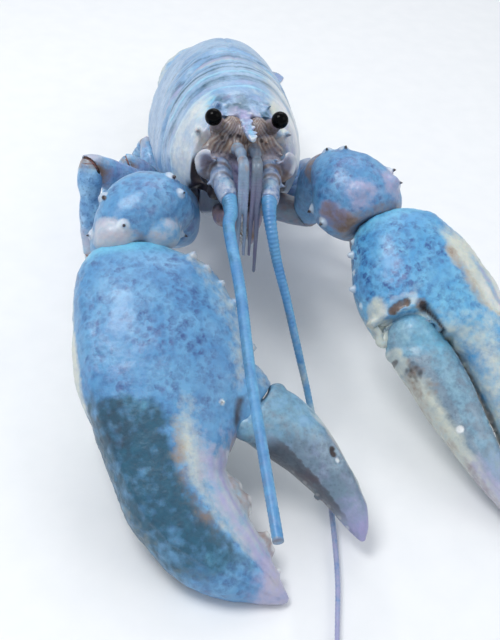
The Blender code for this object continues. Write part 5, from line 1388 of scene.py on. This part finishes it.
jaw_shell = chitin("purple_brown_jaw_shell", "#9a93ab", "#72657a", "#4b3b52", 0.34, 0.8, 0.6, 0.5)
bristle = empty_material("brown_bristle")
tree = bristle.node_tree
place = node(tree, "TexCoord").outputs["Object"]
streaks = node(tree, "TexNoise", {"Scale": 1 / 0.0015, "Detail": 2.0}, {"Vector": place})
colour = node(tree, "ValToRGB", {"stops": [(0.35, linear("#5a4434")), (0.65, linear("#a58d6c"))]},
              {"Fac": streaks.outputs["Fac"]})
surface(tree, {"Roughness": 0.5, "IOR": 1.55}, {"Base Color": colour.outputs["Color"]})

for side, side_name in SIDES:
    stations = [(body(side * x, y, z), a, b) for x, y, z, a, b in JAW_STATIONS]
    jaw = swept("outer_jaw_" + side_name, stations, UP, 24, 2.0, body_way(0, -1, 0),
                spacing=0.6)
    forms = [spike(body(side * 3.0, y, z), body_way(side * -1, -0.4, 0.3), 1.0, 0.6, 0.9)
             for y, z in ((-3, 0.4), (-5.5, 0.9), (-10.4, 3.0), (-12.6, 3.8))]
    melt(jaw, forms, 0.35, 3)
    points = points_of(jaw)
    lift(jaw, waves(points, (0.2, 3.4, 4.0), (0.07, 1.2, 6.0)))
    aside, back, rise = body_places(points)
    paint(jaw, mottled=0.8, lilac=0.4, tan=0.45 + 0.4 * lumps(points, 4.0, 8.0),
          cream=0.25 * fade(-12, -17, back))
    fix(jaw, jaw_shell, "joint_tan", "maxilliped_" + side_name)
    roots, ways, lengths = [], [], []
    edge_line = [body(side * x, y, z) for x, y, z, _, _ in JAW_STATIONS[1:9]]
    for i, centre in enumerate(curve_through(edge_line, BRISTLES)):
        roots.append(centre + body_way(side * -1.6, 0, 0.8 * math.sin(i * 2.4)))
        ways.append(body_way(side * -0.8, -0.5 - 0.3 * math.sin(i * 1.7), -0.6 + 0.4 * math.sin(i * 2.9)))
        lengths.append(3.0 + 0.9 * math.sin(i * 5.3))
    fringe = bristles("jaw_bristles_" + side_name, roots, ways, lengths, 0.13)
    fix(fringe, bristle, "joint_tan")


# Breast: the jointed keel between the legs, pale thin shell with a groove between each pair of legs,
# laid as a finely rounded skin over the solid keel.
breast_shell = chitin("pale_breast_shell", "#c2cddb", "#9fb0c8", "#7d86ab", 0.34, 0.6, 0.3, 0.4)
breast = bpy.data.objects.new("breast_shell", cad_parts["sternum"].data.copy())
bpy.context.scene.collection.objects.link(breast)
bpy.ops.object.select_all(action="DESELECT")
breast.select_set(True)
bpy.context.view_layer.objects.active = breast
bpy.ops.object.mode_set(mode="EDIT")
bpy.ops.mesh.select_all(action="SELECT")
bpy.ops.mesh.remove_doubles(threshold=0.00001)
bpy.ops.object.mode_set(mode="OBJECT")
breast.data.name = breast.name
melt(breast, [], 0.7, 10)
points = points_of(breast)
aside, back, rise = body_places(points)
seams = sum(bell(back, seam, 1.1) for seam in (24, 37, 51, 64, 77, 90))
lift(breast, -0.8 * seams + waves(points, (0.3, 6, 2.0), (0.1, 1.8, 3.0)))
paint(breast, mottled=0.5, cream=0.5, tan=0.6 * seams, lilac=0.3)
fix(breast, breast_shell, "joint_tan", "sternum")


# Walking legs: four on each side, of thin blue shell in tubes that swell before each joint. The
# first two pairs end in small pincers. Red-brown skin shows where the knee and ankle bend.
HIP_BACK = {1: 45.0, 2: 57.0, 3: 70.0, 4: 83.0}
# Knee, ankle and toe of each leg: aside, back and up from the floor
LEG_JOINTS = {
    (-1, 1): [(54.5, 24.0, 52.5), (54.0, 9.0, 22.0), (51.5, -1.0, 0.0)],
    (-1, 2): [(45.0, 41.0, 38.0), (51.5, 28.0, 17.0), (52.0, 22.0, 0.0)],
    (-1, 3): [(40.0, 63.0, 31.0), (47.5, 57.0, 13.0), (49.5, 53.0, 0.0)],
    (-1, 4): [(31.5, 87.0, 26.0), (36.5, 96.0, 11.0), (36.0, 101.0, 0.0)],
    (1, 1): [(54.0, 27.0, 47.0), (62.0, 8.0, 21.0), (62.0, -2.0, 0.0)],
    (1, 2): [(47.0, 42.0, 40.0), (59.0, 32.0, 18.0), (62.0, 30.0, 0.0)],
    (1, 3): [(40.0, 64.0, 32.0), (51.0, 59.0, 14.0), (54.0, 58.0, 0.0)],
    (1, 4): [(33.0, 87.0, 24.5), (42.0, 95.0, 11.0), (44.0, 99.0, 0.0)],
}
LEG_GIRTH = {1: 1.4, 2: 1.1, 3: 1.0, 4: 0.95}
THIGH_GIRTHS = [
    (3.5, 3.5), (3.7, 3.7), (3.2, 3.4), (2.8, 3.1), (3.2, 3.9), (4.1, 4.9), (3.9, 4.5), (3.2, 3.7),
]
# Share of the way, half width, half height
SHANK = [(0, 2.7, 3.0), (0.22, 3.2, 3.4), (0.34, 2.4, 2.7), (0.5, 2.7, 3.0), (0.82, 2.2, 2.5), (1, 1.8, 2.0)]
TOE = [(0, 1.5, 1.7), (0.35, 1.3, 1.5), (0.8, 0.8, 0.9), (1.04, 0.6, 0.65)]
UNDER_EDGE = 7.6

leg_shell = chitin("blue_leg_shell", "#8fc1e6", "#6498c8", "#37639a", 0.3, 0.9, 0.5, 0.4)
toe_shell = chitin("pale_toe_shell", "#bcd3e4", "#93a9c4", "#8a5a52", 0.32, 0.6, 0.4, 0.4)
skin_fold = chitin("red_brown_joint_skin", "#9a6f66", "#6d4642", "#3f2528", 0.42, 0.8, 0.6, 0.6)


def tapered(name, first, last, profile, girth, up, first_ring, last_ring):
    """One straight length of a limb, cut at both ends to meet its neighbours."""
    start, end = first + first_ring * GAP / 2, last - last_ring * GAP / 2
    stations = [(start.lerp(end, share), a * girth, b * girth) for share, a, b in profile]
    return swept(name, stations, up, 24, 2.0, first_ring, last_ring, 0.6)


for side, side_name in SIDES:
    for number, back in HIP_BACK.items():
        name = f"leg_{number}_{side_name}_"
        girth = LEG_GIRTH[number]
        _, half_width, _, edge = section(back)
        hip = body(side * (BREAST_HALF_WIDTH + GAP), back, HIP_RISE)
        under = body(side * half_width * EDGE_INSET, back - 1.5, edge - UNDER_EDGE)
        knee, ankle, toe_tip = [Vector((side * x, y, z)) for x, y, z in LEG_JOINTS[(side, number)]]

        bend = joint_normal(under, knee, ankle)
        centres = curve_through([hip, under, knee - bend * GAP / 2], len(THIGH_GIRTHS))
        stations = []
        for i, (centre, (half, tall)) in enumerate(zip(centres, THIGH_GIRTHS)):
            swell = girth if i > 3 else 1.0
            stations.append((centre, half * swell, tall * swell))
        thigh = swept(name + "thigh_shell", stations, UP, 28, 2.0, Vector((side, 0, 0)),
                      bend, 0.8)
        melt(thigh, [], 0.45, 6)
        points = points_of(thigh)
        near_knee = fade(7.5 * girth, 3.0 * girth, np.linalg.norm(points - np.array(knee), axis=1))
        inside = Vector((-side * 0.35, -0.6, -0.6)).normalized()
        inner = fade(-0.1, 0.6, normals_of(thigh) @ np.array(inside))
        lift(thigh, waves(points, (0.25, 5, 1.0), (0.08, 1.6, 3.0)) - 0.7 * near_knee * inner)
        paint(thigh, mottled=0.9, tan=0.95 * near_knee * inner, black=0.25 * near_knee * inner,
              cream=0.5 * near_knee * (1 - inner), lilac=0.25)
        fix(thigh, leg_shell, "shell_blue", name + "thigh")

        ankle_ring = joint_normal(knee, ankle, toe_tip)
        shank = tapered(name + "shank_shell", knee, ankle, SHANK, girth, Vector((side, 0, 1)), bend,
                        ankle_ring)
        forms = []
        if number <= 2:
            reach = toe_tip - ankle
            aside = Vector((-side * 0.5, 1.0, 0.0)).normalized()
            finger = [
                (ankle - (ankle - knee).normalized() * 5, 1.6, 1.6),
                (ankle + aside * 4.2 + reach * 0.06, 1.5, 1.5),
                (ankle + aside * 4.6 + reach * 0.45, 1.1, 1.1),
                (ankle + aside * 3.2 + reach * 0.86, 0.4, 0.4),
            ]
            forms.append(swept("finger", finger, Vector((1, 0, 0)), 16, 2.0, spacing=0.6))
        melt(shank, forms, 0.4, 4)
        points = points_of(shank)
        way = (ankle - knee).normalized()
        down = (points - np.array(knee)) @ np.array(way) / (ankle - knee).length
        lift(shank, waves(points, (0.2, 4, 1.0), (0.07, 1.4, 3.0)))
        paint(shank, mottled=1.0, cream=0.55 * fade(0.5, 0.95, down) + 0.35 * fade(0.12, 0.0, down),
              lilac=0.35 * fade(0.4, 0.9, down),
              tan=0.5 * fade(0.04, 0.0, down) + 0.45 * fade(0.92, 1.0, down))
        fix(shank, leg_shell, "shell_blue", name + "shank")

        toe = tapered(name + "toe_shell", ankle, toe_tip, TOE, girth, Vector((side, 0, 0)), ankle_ring,
                      (toe_tip - ankle).normalized())
        melt(toe, [], 0.3, 3)
        rest_on_floor(toe)
        points = points_of(toe)
        paint(toe, mottled=0.6, cream=0.5, tan=0.75 * fade(5.0, 0.5, points[:, 2]), lilac=0.3)
        fix(toe, toe_shell, "shell_pale", name + "toe")

        folds = ball(knee, 2.6 * girth)
        folds.name = name + "joint_skin"
        bpy.ops.object.transform_apply(location=True, rotation=True, scale=True)
        melt(folds, [ball(ankle, 1.6 * girth)], 0.4, 2)
        points = points_of(folds)
        lift(folds, 0.15 * np.sin((points @ np.array(way)) * 2 * np.pi / 1.2))
        paint(folds, mottled=0.8)
        fix(folds, skin_fold, "joint_tan")


# Tail: six rings of shell that lap over one another, arched over the back with a flap down each
# side, pale and mottled with a creamy rear band. Rings 2 to 5 bear paired paddles underneath.
TAIL_RISE = 22.0
TAIL_LENGTH = 90.0
TAIL_STEPS = 4  # to a millimetre
# Distance back along the tail, then how steeply it falls and how far it turns aside, in degrees
TAIL_LINE = [
    (0, 16, 0), (8, 18, 3), (18, 21, 7), (32, 24, 10), (50, 25, 12), (66, 22, 12), (80, 16, 12),
    (90, 10, 12),
]
# Distance back, half width, height over the middle, drop of the side flaps under it
TAIL_SECTIONS = [
    (0, 24.8, 19.5, 12.0), (16, 25.2, 18.6, 15.5), (40, 25.0, 17.5, 16.0), (65, 23.5, 15.0, 13.0),
    (90, 19.5, 11.5, 8.0),
]
SOMITE_LENGTHS = [9.0, 16.0, 16.0, 16.0, 16.0, 17.0]
LAP_STEP = 1.5
# Share of a ring's length, swelling, share of the full depth of its flaps
SOMITE_FORM = [
    (0, 0, 0.35), (0.18, 0.2, 0.62), (0.45, 0.6, 0.92), (0.72, 1, 1), (0.9, LAP_STEP * 0.9, 0.8),
    (1, LAP_STEP, 0.45),
]
BELLY_DROP = 4.0
PADDLE_FORM = [(0, 2.0, 1.0), (0.45, 3.0, 0.7), (0.85, 2.2, 0.5), (1, 0.8, 0.35)]
TAIL_GAP = 0.75

tail_shell = chitin("pale_tail_shell", "#a6cdea", "#7fb0da", "#4c7ab2", 0.27, 0.7, 0.35, 0.4)
tail_heading = [np.array(column, float) for column in zip(*TAIL_LINE)]
tail_section = smooth_reading(TAIL_SECTIONS)
somite_form = smooth_reading(SOMITE_FORM)


def tail_directions(distance):
    """Unit vectors backward, aside to the left and upward at a distance along the tail."""
    fall, turn = [math.radians(np.interp(distance, tail_heading[0], column)) for column in tail_heading[1:]]
    backward = Vector((math.sin(turn) * math.cos(fall), math.cos(turn) * math.cos(fall), -math.sin(fall)))
    aside = Vector((math.cos(turn), -math.sin(turn), 0))
    return backward, aside, aside.cross(backward)


tail_middles = [body(0, CARAPACE_LENGTH + TAIL_GAP, TAIL_RISE)]
for i in range(int(TAIL_LENGTH) * TAIL_STEPS):
    tail_middles.append(tail_middles[-1] + tail_directions((i + 0.5) / TAIL_STEPS)[0] / TAIL_STEPS)


def tail_point(distance, side, rise, forward=0.0):
    """A place beside and over the tail's middle line."""
    place = tail_middles[int(round(min(TAIL_LENGTH, max(0.0, distance)) * TAIL_STEPS))]
    backward, aside, upward = tail_directions(distance)
    return place + aside * side + upward * rise - backward * forward


def tail_places(points):
    """For each point, how far back along the tail it lies and how far aside."""
    middles = np.array(tail_middles)
    apart = np.linalg.norm(points[:, None, :] - middles[None, ::TAIL_STEPS, :], axis=2)
    nearest = apart.argmin(axis=1) * TAIL_STEPS
    apart = points - middles[nearest]
    ways = [tail_directions(index / TAIL_STEPS) for index in range(len(middles))]
    backward = np.array([ways[index][0] for index in nearest])
    aside = np.array([ways[index][1] for index in nearest])
    back = nearest / TAIL_STEPS + np.einsum("ij,ij->i", apart, backward)
    return back, np.einsum("ij,ij->i", apart, aside)


start = 0.0
for number, length in enumerate(SOMITE_LENGTHS, 1):
    end = start + length - GAP
    rings = []
    for share in np.linspace(0, 1, 26):
        swell, flap = somite_form(share)
        distance = start + share * (end - start)
        half_width, top, drop = tail_section(distance)
        half_width, top, low = half_width + swell, top + swell, -drop * flap
        notch = REAR_NOTCH * (1 - share) if number == 1 else 0.0
        outline = []
        for turn in np.linspace(0, math.pi, 61):
            aside = -half_width * math.copysign(abs(math.cos(turn)) ** 0.95, math.cos(turn))
            rise, forward = top * math.sin(turn) ** 0.95, notch * math.sin(turn) ** 2
            outline.append(tail_point(distance, aside, rise, forward))
        flank = [(0.97, low * 0.6), (0.90, low), (0.80, low), (0.76, (low - BELLY_DROP) / 2),
                 (0.5, -BELLY_DROP)]
        belly = flank + [(0, -BELLY_DROP)] + [(-out, rise) for out, rise in reversed(flank)]
        rings.append(outline + [tail_point(distance, half_width * out, rise) for out, rise in belly])
    ring = lofted(f"tail_ring_{number}_shell", rings)
    forms = []
    if 2 <= number <= 5:
        for side in (-1, 1):
            middle = start + length * 0.45
            root = tail_point(middle, side * 9, -BELLY_DROP + 1.5)
            tip = tail_point(middle + 6, side * 12, -BELLY_DROP - 6.5)
            paddle = [(root.lerp(tip, share), a, b + 0.25) for share, a, b in PADDLE_FORM]
            forms.append(swept("paddle", paddle, Vector((0, 0.6, 0.8)), 20, 2.0, spacing=0.5))
    melt(ring, forms, 0.6, 4)
    points = points_of(ring)
    distance, aside = tail_places(points)
    share = (distance - start) / length
    heights = np.array(tail_middles)[:, 2]
    line_height = np.interp(distance, np.arange(len(heights)) / TAIL_STEPS, heights)
    upper = fade(-4, 2, points[:, 2] - line_height)
    furrow = -0.7 * bell(share, 0.30, 0.05) * upper
    lip = 0.35 * bell(share, 0.97, 0.04) * upper
    keel = -0.5 * bell(np.abs(aside), 20.5, 1.4) * fade(0.3, 0.5, share)
    lift(ring, furrow + lip + keel + waves(points, (0.3, 7, number), (0.1, 1.8, 2.0)))
    paint(
        ring,
        cream=0.9 * fade(0.86, 0.97, share) * upper + 0.75 * (1 - upper) + 0.4 * fade(17, 23, np.abs(aside)),
        deep=0.35 * fade(0.30, 0.12, share) * upper,
        mottled=fade(0.95, 0.75, share),
        lilac=0.35 * bell(aside, 0, 5) + 0.2 * (1 - upper),
        tan=0.45 * bell(share, 0.30, 0.04) * upper,
    )
    fix(ring, tail_shell, "shell_pale", f"tail_ring_{number}")
    start += length


# Tail fan: a middle blade and two broad blades each side, thin hard plates with a raised rib and fine
# rays near their rounded ends. It lies spread on the floor.
FAN_START = sum(SOMITE_LENGTHS)
FAN_ROOT_THICKNESS = 2.6
FAN_EDGE_THICKNESS = 1.1
# Name, side, distance of its root aside, turn outward in degrees, rise of its root, height of
# its end, length, and half widths
FAN_BLADES = [
    ("telson", 0, 0.0, 0.0, 5.2, 3.65, 40.0, (8.0, 9.5, 8.5)),
    ("tail_blade_inner_right", -1, 9.5, 7.0, 1.2, 2.05, 40.0, (3.6, 9.0, 9.5)),
    ("tail_blade_inner_left", 1, 9.5, 7.0, 1.2, 2.05, 40.0, (3.6, 9.0, 9.5)),
    ("tail_blade_outer_right", -1, 13.5, 15.0, -2.6, 0.45, 40.0, (3.2, 9.5, 10.0)),
    ("tail_blade_outer_left", 1, 13.5, 15.0, -2.6, 0.45, 40.0, (3.2, 9.5, 10.0)),
]
# Share of a blade's length, share of its widening, share of its width kept at the rounded end
BLADE_FORM = [
    (0, 0, 1), (0.12, 0.35, 1), (0.3, 0.75, 1), (0.5, 1, 1), (0.72, 1, 1), (0.87, 1, 0.97), (0.96, 1, 0.8),
    (1, 1, 0.5),
]

fan_shell = chitin("blue_fan_shell", "#9cc6e6", "#6f9fce", "#46669f", 0.28, 0.8, 0.5, 0.4)
for name, side, root_aside, turn, root_rise, end_height, length, (near, middle, far) in FAN_BLADES:
    backward, aside, _ = tail_directions(FAN_START)
    turn = math.radians(turn) * side
    level = Vector((backward.x, backward.y, 0)).normalized()
    way = level * math.cos(turn) + aside * math.sin(turn)
    root = tail_point(FAN_START, side * root_aside, root_rise)
    across_blade = way.cross(UP).normalized()
    stations = []
    for share, widening, kept in BLADE_FORM:
        half_width = near + (middle - near) * widening
        if share > 0.5:
            half_width = middle + (far - middle) * (share - 0.5) * 2
        height = root.z + (end_height - root.z) * float(fade(-0.1, 0.85, share))
        centre = root + way * length * share
        thick = FAN_ROOT_THICKNESS + (FAN_EDGE_THICKNESS - FAN_ROOT_THICKNESS) * min(1.0, share * 1.4)
        stations.append((Vector((centre.x, centre.y, height)), half_width * kept, thick / 2 + 0.1))
    blade = swept(name + "_shell", stations, UP, 48, 2.6, backward, spacing=0.6)
    melt(blade, [], 0.4, 2)
    points = points_of(blade)
    along_blade = (points - np.array(root)) @ np.array(way) / length
    off = (points - np.array(root)) @ np.array(across_blade)
    top_side = fade(-0.2, 0.4, normals_of(blade)[:, 2])
    rib = 0.5 * bell(off, 0, 1.3) * fade(0.95, 0.6, along_blade)
    rays = 0.10 * np.sin(off * 2 * np.pi / 1.1) * fade(0.55, 0.85, along_blade)
    lift(blade, (rib + rays) * top_side + 0.1 * lumps(points, 3, 2.0) * top_side)
    rest_on_floor(blade)
    paint(
        blade,
        cream=0.7 * fade(0.9, 1.0, along_blade) + 0.5 * (1 - top_side),
        tan=0.6 * fade(0.93, 1.0, along_blade),
        deep=0.3 * fade(0.2, 0.0, along_blade),
        lilac=0.45 * fade(0.5, 0.9, along_blade),
        mottled=1.0,
        cyan=0.3 * bell(off, 0, 2.5),
    )
    fix(blade, fan_shell, "shell_pale", name)
